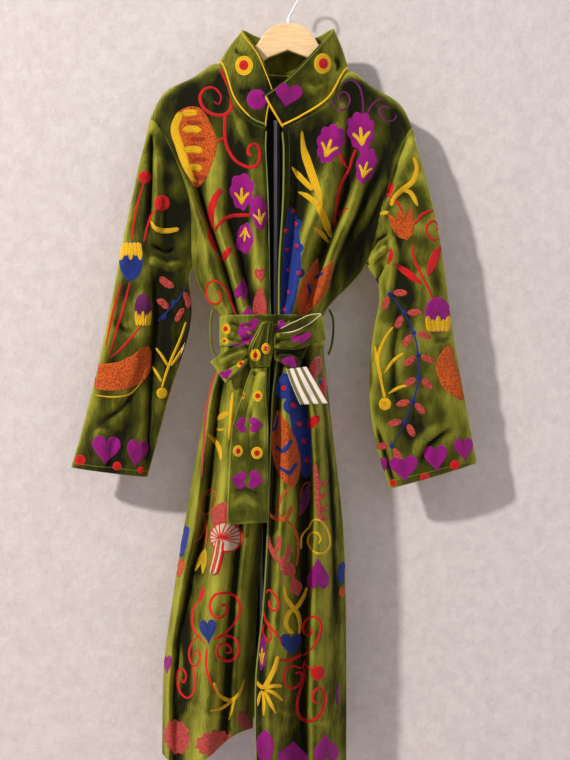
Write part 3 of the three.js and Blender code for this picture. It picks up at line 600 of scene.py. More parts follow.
def striped(name, ground, stripe, fine_stripe, period, band, axis="X"):
    """Woven stripes that run along the cloth: the axis of its uv is metres across them. Band is the broad
    stripe's share of the period, and a fine stripe follows it."""
    n = Nodes(name)
    split = n.add("ShaderNodeSeparateXYZ", {"Vector": n.uv()})
    across = n.math("DIVIDE", split.outputs[axis], period)
    place = n.math("FRACT", across)
    broad = n.math("LESS_THAN", place, band)
    thin = n.math("LESS_THAN", n.math("ABSOLUTE", n.math("SUBTRACT", place, band + 0.12)), 0.022)
    base = n.add("ShaderNodeMix", {"Factor": broad, "A": (*ground, 1), "B": (*stripe, 1)}, data_type="RGBA")
    both = n.add("ShaderNodeMix", {"Factor": thin, "A": base.outputs["Result"], "B": (*fine_stripe, 1)},
                 data_type="RGBA")
    weave = n.noise(n.object_space(), scale=900.0, detail=2.0, roughness=0.6)
    n.set(Base_Color=both.outputs["Result"], Roughness=0.8,
          Normal=n.bump(weave, distance=0.0003, strength=0.5), Specular_IOR_Level=0.25)
    return n.material


def birch():
    """Pale varnished wood with its grain along x."""
    n = Nodes("birch_wood")
    grain = n.noise(n.object_space((1.0, 1.0, 7.0)), scale=26.0, detail=6.0, roughness=0.6)
    fine = n.noise(n.object_space((0.6, 1.0, 16.0)), scale=70.0, detail=3.0, roughness=0.5)
    mixed = n.math("ADD", n.math("MULTIPLY", grain, 0.7), n.math("MULTIPLY", fine, 0.3))
    growth = [(0.3, srgb(205, 165, 112)), (0.55, srgb(226, 192, 143)), (0.75, srgb(236, 208, 165))]
    n.set(Base_Color=n.ramp(mixed, growth), Roughness=0.42,
          Normal=n.bump(fine, distance=0.0002, strength=0.3), Coat_Weight=0.25)
    return n.material


def steel():
    """Bright drawn wire."""
    n = Nodes("steel_wire")
    drawn = n.noise(n.object_space((1.0, 1.0, 0.05)), scale=900.0, detail=2.0, roughness=0.5)
    n.set(Base_Color=n.ramp(drawn, [(0.3, (0.5, 0.51, 0.53)), (0.7, (0.72, 0.73, 0.75))]),
          Metallic=1.0, Roughness=0.24, Normal=n.bump(drawn, distance=0.00005, strength=0.3))
    return n.material


# The velvet's colours: its painted shade, its middle tone, its painted highlight, and its sheen's tint.
VELVET = velvet("olive_velvet", srgb(16, 17, 2), srgb(61, 63, 8), srgb(154, 152, 52), srgb(118, 114, 30))
LINING = striped("striped_lining", srgb(17, 16, 19), srgb(232, 228, 236), srgb(120, 116, 120), 0.024, 0.24)
BELT_LINING = striped("belt_lining", srgb(96, 98, 50), srgb(214, 198, 190), srgb(120, 116, 80), 0.0128, 0.56,
                      axis="Y")
THREADS = {
    "red": thread("thread_red", srgb(222, 14, 22), srgb(146, 4, 10)),
    "magenta": thread("thread_magenta", srgb(172, 0, 142), srgb(112, 0, 94)),
    "plum": thread("thread_plum", srgb(120, 28, 100), srgb(66, 10, 58)),
    "yellow": thread("thread_yellow", srgb(240, 190, 8), srgb(180, 126, 2)),
    "orange": thread("thread_orange", srgb(222, 96, 16), srgb(128, 46, 6), True),
    "rust": thread("thread_rust", srgb(176, 60, 14), srgb(104, 30, 6), True),
    "blue": thread("thread_blue", srgb(24, 54, 146), srgb(8, 22, 76)),
    "coral": thread("thread_coral", srgb(208, 80, 72), srgb(136, 38, 34), True),
    "white": thread("thread_white", srgb(228, 208, 184), srgb(160, 136, 112)),
    "lime": thread("thread_lime", srgb(128, 138, 50), srgb(78, 88, 22)),
    "moss": thread("thread_moss", srgb(66, 76, 22), srgb(34, 40, 8)),
}
THREAD_ORDER = list(THREADS)


# ---------------------------------------------------------------- meshes

RELIEF_PASSES = 70       # how wide a neighbourhood the relief is measured against
RELIEF_HEIGHT = 4.0      # mm that the cloth stands out where its relief is 1


def relief(grid, normals, ring):
    """How far a grid stands out of its neighbourhood: from -1 in a valley to 1 on a ridge."""
    smooth = grid
    for _ in range(RELIEF_PASSES):
        if ring:
            sides = np.roll(smooth, 1, axis=1) + np.roll(smooth, -1, axis=1)
        else:
            wide = np.concatenate([smooth[:, :1], smooth, smooth[:, -1:]], axis=1)
            sides = wide[:, :-2] + wide[:, 2:]
        smooth = smooth / 2 + sides / 4
    return np.clip(((grid - smooth) * normals).sum(axis=-1) / RELIEF_HEIGHT, -1, 1)


def paired(a, b):
    """Two arrays spread over each other, as pairs."""
    return np.stack(np.broadcast_arrays(a, b), axis=-1)


def mesh_object(name, verts, faces, uvs, materials, slots, painted_light=None):
    """An object of points in mm, with one uv for each point, and the painted highlight and shade that the
    velvet's colour takes.
    """
    mesh = bpy.data.meshes.new(name)
    mesh.from_pydata((np.asarray(verts) * MM).tolist(), [], [list(f) for f in faces])
    for material in materials:
        mesh.materials.append(material)
    mesh.polygons.foreach_set("material_index", np.asarray(slots, np.int32))
    mesh.polygons.foreach_set("use_smooth", np.ones(len(faces), bool))
    layer = mesh.uv_layers.new(name="cloth")
    corner = np.zeros(len(mesh.loops), np.int32)
    mesh.loops.foreach_get("vertex_index", corner)
    layer.data.foreach_set("uv", np.asarray(uvs, float)[corner].ravel())
    if painted_light is not None:
        mesh.attributes.new("painted_light", "FLOAT", "POINT").data.foreach_set("value", painted_light)
    mesh.validate()
    mesh.update()
    obj = bpy.data.objects.new(name, mesh)
    bpy.context.scene.collection.objects.link(obj)
    return obj


def grid_index(rows, columns, ring=False):
    """The number of each of a grid's points, with the first column once more at the end of a ring."""
    index = np.arange(rows * columns).reshape(rows, columns)
    return np.concatenate([index, index[:, :1]], axis=1) if ring else index


def quads_of(index):
    """The four corners of each face of a grid."""
    corners = [index[:-1, :-1], index[1:, :-1], index[1:, 1:], index[:-1, 1:]]
    return np.stack(corners, axis=-1).reshape(-1, 4)


OTHER_WAY_ROUND = [0, 3, 2, 1]
BORDERS = {
    "top": (np.s_[0], np.s_[1]),
    "foot": (np.s_[-1], np.s_[-2]),
    "first": (np.s_[:, 0], np.s_[:, 1]),
    "last": (np.s_[:, -1], np.s_[:, -2]),
}


def faces_inward(verts, faces):
    """Whether quads enclose their volume from the wrong side."""
    a, b, c, d = (verts[faces[:, k]] for k in range(4))
    return (a * (np.cross(b, c) + np.cross(c, d))).sum() < 0


def shell(name, panel, wall, materials, uv=None, pile_tone_and_sheen=0.0):
    """A closed wall about a panel's grid, eased back at the borders that are sewn. Its inner faces take
    the second material. Its velvet takes painted highlight on ridges, painted shade in valleys, and its
    piece's painted sheen."""
    grid, normals, ring = panel["grid"].copy(), panel["normals"], panel["ring"]
    for border in panel["ease"]:
        edge, beside = BORDERS[border]
        grid[edge] += unit(grid[beside] - grid[edge]) * SEAM_GAP / 2
    rows, columns = grid.shape[:2]
    outer = (grid + normals * wall / 2).reshape(-1, 3)
    inner = (grid - normals * wall / 2).reshape(-1, 3)
    verts = np.concatenate([outer, inner])
    half = rows * columns
    index = grid_index(rows, columns, ring)
    front = quads_of(index)
    behind = front[:, OTHER_WAY_ROUND] + half

    def rim(line, flip):
        p, q = line[:-1], line[1:]
        quads = np.stack([p, q, q + half, p + half], axis=1)
        return quads[:, ::-1] if flip else quads

    rims = [rim(index[0], False), rim(index[-1], True)]
    if not ring:
        rims += [rim(index[:, 0], True), rim(index[:, -1], False)]
    rims = np.concatenate(rims)
    faces = np.concatenate([front, behind, rims])
    if faces_inward(verts, faces):
        faces = faces[:, ::-1]
    slots = np.concatenate([np.zeros(len(front)), np.ones(len(behind)), np.zeros(len(rims))])
    if uv is None:
        step_across = np.linalg.norm(np.diff(grid, axis=1), axis=2).mean(axis=0)
        step_down = np.linalg.norm(np.diff(grid, axis=0), axis=2).mean(axis=1)
        u = np.concatenate([[0], np.cumsum(step_across)]) * MM
        v = np.concatenate([[0], np.cumsum(step_down)]) * MM
        uv = paired(u[None, :], v[:, None])
    uv = uv.reshape(-1, 2)
    # Painted highlight and shade: ridges lighter and valleys darker, shifted by the piece's painted sheen.
    painted_light = relief(grid, normals, ring).ravel() + pile_tone_and_sheen
    return mesh_object(name, verts, faces, np.concatenate([uv, uv]), materials, slots,
                       painted_light=np.concatenate([painted_light, painted_light]))


def finish_piece(obj, slot, *nodes):
    """Attaches a piece to the root body, and hides the CAD nodes it stands for. Its slot is not used."""
    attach(obj, "root")
    if nodes:
        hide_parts(*nodes)


# ---------------------------------------------------------------- embroidery

STITCH_ROW = 2.6      # mm from one row of chain stitch to the next
STITCH = 3.4          # mm of one stitch
LINE_STEPS = 8        # pieces of a line's curve between two of its points
POINT_STEP = 2.8      # mm between the points of an outline or line
FIRST_ROW = 1.1       # mm from a filled shape's edge to its first row
LAST_ROW = 0.985      # how far in the last row lies, as a share of the way to the middle
EDGE_SLOPE = 0.8      # mm over which a filled shape rises at its edge
SHOULDER = 2.0        # mm of a line's width in which it rises, over both its edges together
BELLY = (0.35, 0.65)  # shares of a line's length between which it is at its widest
TIP = {"least": 1.2, "most": 0.2, "blunt": 0.04}    # a line's round end: mm, share of the length, flatness
EDGE_SINK = 0.3       # mm that the edge of a stitched shape lies in the pile
LIFT = 1.1            # mm that a stitched shape stands up
OVER_LIFT = 0.7       # mm more where a shape is stitched on another
TORN = 15.0           # mm: a stitched face longer than this has run over a fold's edge
FAR_SIDE = 700.0      # mm behind the hanger, from where the far side's shapes are laid on the cloth
SIGHT = 4000.0        # mm that a line of sight reaches


class Stitching:
    """The stitched shapes on one panel, gathered into one mesh."""

    def __init__(self, name, panel, wall):
        self.name = name
        self.verts, self.faces, self.uvs, self.slots = [], [], [], []
        self.count = 0
        outer = outside_of(panel, wall)
        quads = quads_of(grid_index(*outer.shape[:2], panel["ring"]))
        self.tree = BVHTree.FromPolygons(outer.reshape(-1, 3).tolist(), quads.tolist())

    def drape(self, flat, heights, behind):
        """Points of the hanger's plane, as x and z in mm, laid on the cloth that is seen there."""
        out = np.full(flat.shape[:-1] + (3,), np.nan)
        for place in np.ndindex(flat.shape[:-1]):
            x, z = flat[place]
            start = Vector((x, FAR_SIDE, z)) if behind else Vector(EYE)
            way = (Vector((x, 0.0, z)) - start).normalized()
            hit, normal, _, _ = self.tree.ray_cast(start, way, SIGHT)
            if hit is not None:
                if normal.dot(way) > 0:
                    normal = -normal
                out[place] = hit + normal * heights[place]
        return out

    def add(self, flat, heights, uv, thread_name, behind, ring=False):
        """Adds the faces of a grid that rest on the cloth, without those that missed it."""
        points = self.drape(flat, heights, behind)
        if ring:
            points = np.concatenate([points, points[:, :1]], axis=1)
            uv = np.concatenate([uv, uv[:, -1:] * 2 - uv[:, -2:-1]], axis=1)
        quads = quads_of(grid_index(*points.shape[:2]))
        points = points.reshape(-1, 3)
        corner = points[quads]
        longest = np.linalg.norm(corner - np.roll(corner, 1, axis=1), axis=2).max(axis=1)
        keep = longest < TORN      # not so either where a corner missed the cloth
        self.verts.append(np.nan_to_num(points))
        self.uvs.append(uv.reshape(-1, 2))
        self.faces.append(quads[keep] + self.count)
        self.slots.append(np.full(int(keep.sum()), THREAD_ORDER.index(thread_name)))
        self.count += len(points)

    def fill(self, outline, thread_name, behind, over=0):
        """A closed shape, stitched round and round towards its middle."""
        outline = even(np.concatenate([outline, outline[:1]]), POINT_STEP)[:-1]
        middle = outline.mean(axis=0)
        reach = np.linalg.norm(outline - middle, axis=1).max()
        inner = np.arange(FIRST_ROW, reach, STITCH_ROW)
        depth = np.concatenate([[0], inner, [reach * LAST_ROW]])
        flat = middle + (outline - middle)[None] * (1 - depth / reach)[:, None, None]
        rise = (LIFT + OVER_LIFT * over) * (1 - np.exp(-depth / EDGE_SLOPE)) - EDGE_SINK * (depth == 0)
        heights = np.repeat(rise[:, None], len(outline), axis=1)
        along = np.arange(len(outline)) * POINT_STEP / STITCH
        self.add(flat, heights, paired(along[None, :], depth[:, None] / STITCH_ROW), thread_name, behind,
                 ring=True)

    def line(self, path, wide, thread_name, behind, over=0, start=0.7, end=0.4, curve=True):
        """A stitched line with round ends; start and end are its widths there, as shares of wide."""
        path = even(through(path, LINE_STEPS) if curve else path, POINT_STEP)
        lengths = lengths_along(path)
        total = lengths[-1]
        share = lengths / total
        belly = np.interp(share, [0, *BELLY, 1], [start, 1, 1, end])
        cap = min(max(0.5 * wide * min(start, end), TIP["least"]), TIP["most"] * total)
        round_off = np.sqrt(np.clip(np.minimum(lengths, total - lengths) / cap, TIP["blunt"], 1))
        half = 0.5 * wide * belly * round_off
        tangent = unit(np.gradient(path, axis=0))
        side = np.stack([-tangent[:, 1], tangent[:, 0]], axis=1)
        rows = max(1, round(wide / STITCH_ROW))
        shoulder = min(0.5, SHOULDER / wide)
        t = np.concatenate([[-1], np.linspace(-1 + shoulder, 1 - shoulder, rows + 1), [1]])
        flat = path[:, None] + side[:, None] * half[:, None, None] * t[None, :, None]
        rise = np.where(np.abs(t) == 1, -EDGE_SINK, (LIFT + OVER_LIFT * over) * (1 - 0.25 * t**2))
        heights = np.repeat(rise[None], len(path), axis=0)
        across = t[None] * wide / 2 / STITCH_ROW
        self.add(flat, heights, paired(lengths[:, None] / STITCH, across), thread_name, behind)

    def finish(self):
        """Makes the mesh, with the threads that it uses."""
        slots = np.concatenate(self.slots)
        used = sorted(set(slots.tolist()))
        place = {old: new for new, old in enumerate(used)}
        obj = mesh_object(f"embroidery_{self.name}", np.concatenate(self.verts), np.concatenate(self.faces),
                          np.concatenate(self.uvs), [THREADS[THREAD_ORDER[i]] for i in used],
                          [place[i] for i in slots.tolist()])
        tidy_loose(obj)
        finish_piece(obj, "velvet")
        return obj


def tidy_loose(obj):
    """Takes out the points that no face uses."""
    mesh = obj.data
    used = np.zeros(len(mesh.vertices), bool)
    corner = np.zeros(len(mesh.loops), np.int32)
    mesh.loops.foreach_get("vertex_index", corner)
    used[corner] = True
    work = bmesh.new()
    work.from_mesh(mesh)
    work.verts.ensure_lookup_table()
    bmesh.ops.delete(work, geom=[work.verts[i] for i in np.flatnonzero(~used)], context="VERTS")
    work.to_mesh(mesh)
    work.free()


def turned(shape, turn, at):
    """A shape turned anticlockwise by degrees and moved to its place."""
    a = math.radians(turn)
    x = shape[:, 0] * math.cos(a) - shape[:, 1] * math.sin(a)
    z = shape[:, 0] * math.sin(a) + shape[:, 1] * math.cos(a)
    return np.stack([x, z], axis=1) + at


def heart_outline(wide, tall):
    """A heart with its point down."""
    t = np.linspace(0, 2 * math.pi, 60, endpoint=False)
    x = np.sin(t) ** 3
    z = (13 * np.cos(t) - 5 * np.cos(2 * t) - 2 * np.cos(3 * t) - np.cos(4 * t) + 2.5) / 14.5
    return np.stack([x * wide / 2, z * tall / 2], axis=1)


def round_outline(wide, tall, lobes=0, depth=0.0, narrow=0.0):
    """An oval with scalloped lobes, narrower towards its foot."""
    t = np.linspace(0, 2 * math.pi, 72, endpoint=False)
    r = 1 - depth * (1 - np.abs(np.sin(t * lobes / 2))) if lobes else np.ones_like(t)
    x, z = r * np.cos(t), r * np.sin(t)
    x = x * (1 - narrow * (1 - z) / 2)
    return np.stack([x * wide / 2, z * tall / 2], axis=1)


def leaf_outline(wide, tall, belly):
    """A leaf pointed at both ends, broadest at the share belly of its height."""
    s = np.linspace(0, 1, 30)
    bulge = np.sin(math.pi * s ** (math.log(0.5) / math.log(belly))) ** 0.85 * wide / 2
    z = (s - 0.5) * tall
    return np.concatenate([np.stack([bulge, z], axis=1), np.stack([-bulge, z], axis=1)[-2:0:-1]])


def spot(px, py):
    """A place that was read off the picture, as x and z in mm on the hanger's plane."""
    return on_plane(px, py)[..., ::2], False


def far(x, z):
    """A place on the coat's far side, in mm."""
    return np.stack([np.asarray(x, float), np.asarray(z, float)], axis=-1), True


def motif(draw):
    """Turns a drawing function into one for the tables: it is given a place, colours and sizes in mm, and
    makes what stitches the motif on a panel."""
    def row(place, *sizes, **more):
        return lambda stitching: draw(stitching, *place, *sizes, **more)
    return row


@motif
def line(s, path, behind, colour, wide, start=0.7, end=0.4, over=0, curve=True):
    """A line through the place's points."""
    s.line(path, wide, colour, behind, over, start, end, curve)


@motif
def heart(s, at, behind, colour, wide, tall, turn=0):
    """A heart, turned anticlockwise by degrees from one with its point down."""
    s.fill(turned(heart_outline(wide, tall), turn, at), colour, behind)


@motif
def leaf(s, at, behind, colour, wide, tall, turn=0, belly=0.5):
    """A leaf, turned anticlockwise by degrees from upright."""
    s.fill(turned(leaf_outline(wide, tall, belly), turn, at), colour, behind)


@motif
def round_head(s, at, behind, colour, wide, tall):
    """A round, deeply scalloped head."""
    s.fill(turned(round_outline(wide, tall, lobes=11, depth=0.2), turn=12, at=at), colour, behind)


@motif
def dot(s, at, behind, colour, wide, over=0):
    """A round dot."""
    s.fill(round_outline(wide, wide) + at, colour, behind, over)


@motif
def red_dots(s, middles, behind, wide):
    """Small dots stitched over another shape."""
    for at in middles:
        s.fill(round_outline(wide, wide) + at, "red", behind, over=2)


@motif
def ringed(s, at, behind, wide, tall=None):
    """A red dot in a yellow ring."""
    tall = tall or wide * 1.1
    s.fill(round_outline(wide, tall) + at, "yellow", behind)
    s.fill(round_outline(wide * 0.56, tall * 0.56) + at, "red", behind, over=1)


@motif
def flower(s, at, behind, wide, tall, turn=0, lobes=7):
    """Scalloped petals with three stamens that fan out from the foot."""
    s.fill(turned(round_outline(wide, tall, lobes, depth=0.16, narrow=0.35), turn, at), "magenta", behind)
    foot = np.array([0, -0.34 * tall])
    for lean in (-0.26, 0, 0.26):
        tip = np.array([lean * wide, (0.12 - 0.5 * abs(lean)) * tall])
        bend = np.array([lean * wide * 0.35, -0.16 * tall])
        path = turned(np.array([foot, bend, tip]), turn, at)
        s.line(path, max(4.5, 0.13 * wide), "yellow", behind, over=1, start=0.6, end=0.9)


@motif
def tulip(s, at, behind, cup, crown, wide, tall, crown_down=1):
    """A cup with a toothed crown of another colour over it."""
    s.fill(round_outline(wide, tall, narrow=0.1) + at, cup, behind)
    for k in range(5):
        x = (k - 2) * 0.19 * wide
        root = np.array([x * 0.75, crown_down * 0.47 * tall])
        tip = np.array([x * 1.02, crown_down * (0.02 + 0.1 * (k % 2)) * tall])
        tooth = np.array([root, (root + tip) / 2, tip]) + at
        s.line(tooth, 0.24 * wide, crown, behind, over=1, start=1.0, end=0.55)


@motif
def bud(s, at, behind, colour, wide, tall, turn):
    """A closed flower with three points."""
    rim = np.array([(0.0, -0.5), (0.3, -0.36), (0.48, -0.05), (0.5, 0.5), (0.24, 0.2), (0.0, 0.46),
                    (-0.24, 0.2), (-0.5, 0.42), (-0.48, -0.05), (-0.3, -0.36), (0.0, -0.5)])
    rim = np.concatenate([np.linspace(a, b, 4)[:-1] for a, b in zip(rim, rim[1:])])
    s.fill(turned(rim * (wide, tall), turn, at), colour, behind)


@motif
def bean(s, at, behind, wide, tall):
    """A drop with its point down, orange, with yellow bars that reach in from one side."""
    half = (wide / 2, tall / 2)
    rim = np.array([(-0.72, 0.86), (-0.2, 1.0), (0.35, 0.92), (0.78, 0.5), (0.98, 0.05), (0.8, -0.4),
                    (0.42, -0.85), (0.1, -1.0), (-0.2, -0.78), (-0.6, -0.2), (-0.95, 0.4), (-0.72, 0.86)])
    s.fill(through(rim * half, 5)[:-1] + at, "orange", behind)
    side = np.array([(-0.55, 0.84), (-0.82, 0.45), (-0.6, 0.0), (-0.3, -0.5), (0.05, -0.88)])
    s.line(side * half + at, 0.38 * half[0], "yellow", behind, over=1, start=0.9, end=0.5)
    for level, tip in ((0.82, 0.25), (0.42, 0.42), (-0.08, 0.5), (-0.52, 0.48)):
        bar = np.array([(-0.45 - 0.3 * level * 0.3, level), (0.0, level + 0.02), (tip - 0.1, level - 0.02)])
        s.line(bar * half + at, 0.34 * half[0], "yellow", behind, over=1, start=0.9, end=0.9)
        gap = np.array([(tip - 0.55, level - 0.22), (tip - 0.2, level - 0.23), (tip + 0.08, level - 0.22)])
        s.line(gap * half + at, 0.24 * half[0], "rust", behind, over=1, start=0.8, end=0.8)


@motif
def mushroom(s, at, behind, wide, tall):
    """A cap seen from below: a domed top, pale gills parted by ribs that fan out, and a stem."""
    hub = np.array([-0.14 * wide, -0.02 * tall])
    foot = np.array([-0.36 * wide, -0.49 * tall])
    s.fill(round_outline(wide * 0.9, tall * 0.42) + at + (0, 0.25 * tall), "coral", behind)
    s.fill(round_outline(wide, tall * 0.42) + at, "red", behind, over=1)
    s.fill(round_outline(wide * 0.91, tall * 0.375) + at, "white", behind, over=2)
    for angle in range(-30, 211, 20):
        a = math.radians(angle)
        rim = np.array([math.cos(a) * 0.46 * wide, math.sin(a) * 0.19 * tall])
        s.line(np.array([hub, (hub + rim) / 2, rim]) + at, 3.0, "red", behind, over=3, start=1.0, end=1.0)
    stem = np.array([hub, (hub + foot) / 2 + (0.02 * wide, 0), foot]) + at
    for over, share, colour in ((4, 0.3, "red"), (5, 0.22, "white"), (6, 0.11, "orange")):
        s.line(stem, share * wide, colour, behind, over, start=0.8, end=1.0)


@motif
def vine(s, path, behind, colour, beads, wide, tall):
    """A thin stem with beads of one width, and a pair of leaves of one length at each."""
    s.line(path, 3.0, beads, behind)
    tangent = unit(np.gradient(path, axis=0))
    for k, (point, way) in enumerate(zip(path, tangent)):
        lean = math.degrees(math.atan2(way[1], way[0])) - 90
        for side in (-1, 1):
            away = turned(np.array([[side * tall * 0.62, tall * 0.35]]), lean, point)[0]
            shape = turned(round_outline(tall * 0.5, tall), lean - side * (52 + 6 * (k % 2)), away)
            s.fill(shape, colour, behind)
        s.fill(round_outline(wide, wide) + point, beads, behind, over=1)


@motif
def spiral(s, at, behind, colour, wide, radius, start_at, turns, hand=1):
    """A curl: it winds in from its rim, which is at the angle start_at, in degrees."""
    t = np.linspace(0, 1, 24)
    angle = math.radians(start_at) + hand * 2 * math.pi * turns * t
    r = radius * (1 - 0.82 * t**0.9)
    curl = np.stack([np.cos(angle) * r, np.sin(angle) * r], axis=1) + at
    s.line(curl, wide, colour, behind, over=0, start=0.8, end=0.8)


# ---------------------------------------------------------------- the motifs on each panel

ON_FRONT_RIGHT = [
    bean(spot(194, 147), 78, 136),
    line(spot([220, 227, 231, 231, 223, 212, 203, 200, 205, 214, 221, 219, 213], [69, 84, 98, 109, 115,
         114, 107, 97, 89, 88, 96, 104, 101]), "red", 6),
    line(spot([225, 225, 228, 236, 248, 257, 260, 257, 250, 248, 252], [115, 136, 149, 161, 167, 165, 155,
         145, 146, 153, 156]), "red", 6, start=1.0, end=0.9),
    line(spot([225, 222, 217], [137, 139, 143]), "red", 5),
    line(spot([215, 221, 232, 251], [231, 222, 216, 215]), "red", 7, end=0.8),
    flower(spot(242, 192), 50, 64),
    flower(spot(259, 213), 36, 60, 8),
    flower(spot(245, 238), 36, 54, 176, lobes=5),
    line(spot([221, 214, 211, 213], [189, 200, 215, 230]), "red", 12, end=0.3),
    line(spot([208, 211, 217], [229, 239, 252]), "red", 9, start=0.5),
    line(spot([231, 226, 223], [248, 254, 262]), "red", 11),
    line(spot([237, 232, 226, 216, 209, 206, 209, 216, 221, 220, 216], [318, 304, 289, 281, 283, 292, 301,
         304, 300, 292, 292]), "red", 4, end=0.9),
    heart(spot(242, 288), "magenta", 22, 38, 170),
    heart(spot(248, 314), "magenta", 26, 30, 180),
    heart(spot(260, 276), "coral", 18, 28, 8),
    leaf(spot(260, 305), "coral", 24, 62, belly=0.45),
    # The skirt.
    line(spot([216, 208, 204, 202], [372, 400, 440, 478]), "coral", 5),
    line(spot([217, 223, 229], [420, 415, 412]), "yellow", 9, end=0.8),
    line(spot([217, 221, 225], [429, 430, 428]), "yellow", 5),
    line(spot([208, 214, 219, 221], [434, 440, 448, 460]), "yellow", 8, end=0.3),
    line(spot([233, 231, 229], [392, 412, 440]), "yellow", 6),
    line(spot([214, 207, 202, 202, 207, 213, 216, 214, 208], [487, 492, 501, 511, 514, 509, 498, 490,
         496]), "orange", 2.6),
    line(spot([203, 205, 200, 193], [513, 526, 538, 543]), "orange", 2.6),
    line(spot([204, 207, 205], [513, 530, 549]), "orange", 2.6),
    leaf(spot(200, 560), "yellow", 8, 42, -24),
    leaf(spot(204, 561), "yellow", 8, 44, -6),
    mushroom(spot(226, 537), 56, 128),
    line(spot([187, 183, 181], [526, 542, 557]), "blue", 15),
    line(spot([182, 180, 178], [559, 568, 577]), "orange", 15),
    heart(spot(208, 632), "blue", 28, 42, 4),
    line(spot([203, 202, 200], [587, 594, 601]), "red", 8, start=0.3),
    line(spot([201, 194, 192, 194, 201, 206], [598, 607, 619, 631, 639, 645]), "red", 4),
    line(spot([215, 226, 236, 240, 236, 226, 215, 210, 212, 219, 226, 226, 220], [639, 632, 621, 608, 597,
         593, 595, 604, 614, 618, 613, 605, 606]), "red", 5, end=0.9),
    line(spot([214, 224, 234, 239, 236, 228, 219, 217, 222, 229, 231, 226], [640, 636, 638, 647, 657, 661,
         657, 649, 644, 646, 652, 653]), "red", 5, end=0.9),
    line(spot([201, 193, 189, 191, 196, 200, 199, 195, 195], [635, 641, 652, 663, 666, 659, 651, 652,
         657]), "red", 3.4, end=0.9),
    line(spot([193, 195, 193, 187, 180, 177, 178, 183, 186, 184, 182], [666, 680, 693, 698, 692, 680, 671,
         669, 676, 683, 679]), "red", 4, end=0.9),
    line(spot([207, 206, 208, 212, 216], [648, 662, 675, 685, 694]), "red", 4.4),
    line(spot([214, 217, 223, 232, 240, 244], [682, 692, 698, 700, 692, 679]), "yellow", 7),
    line(spot([233, 222, 210], [700, 708, 711]), "yellow", 6),
    line(spot([235, 232, 229], [699, 709, 720]), "yellow", 5),
    round_head(spot(177, 737), "coral", 46, 62),
    round_head(spot(214, 743), "coral", 66, 44),
    line(spot([239, 245, 250], [712, 722, 730]), "coral", 20, end=0.8),
    heart(spot(167, 665), "magenta", 16, 34),
]

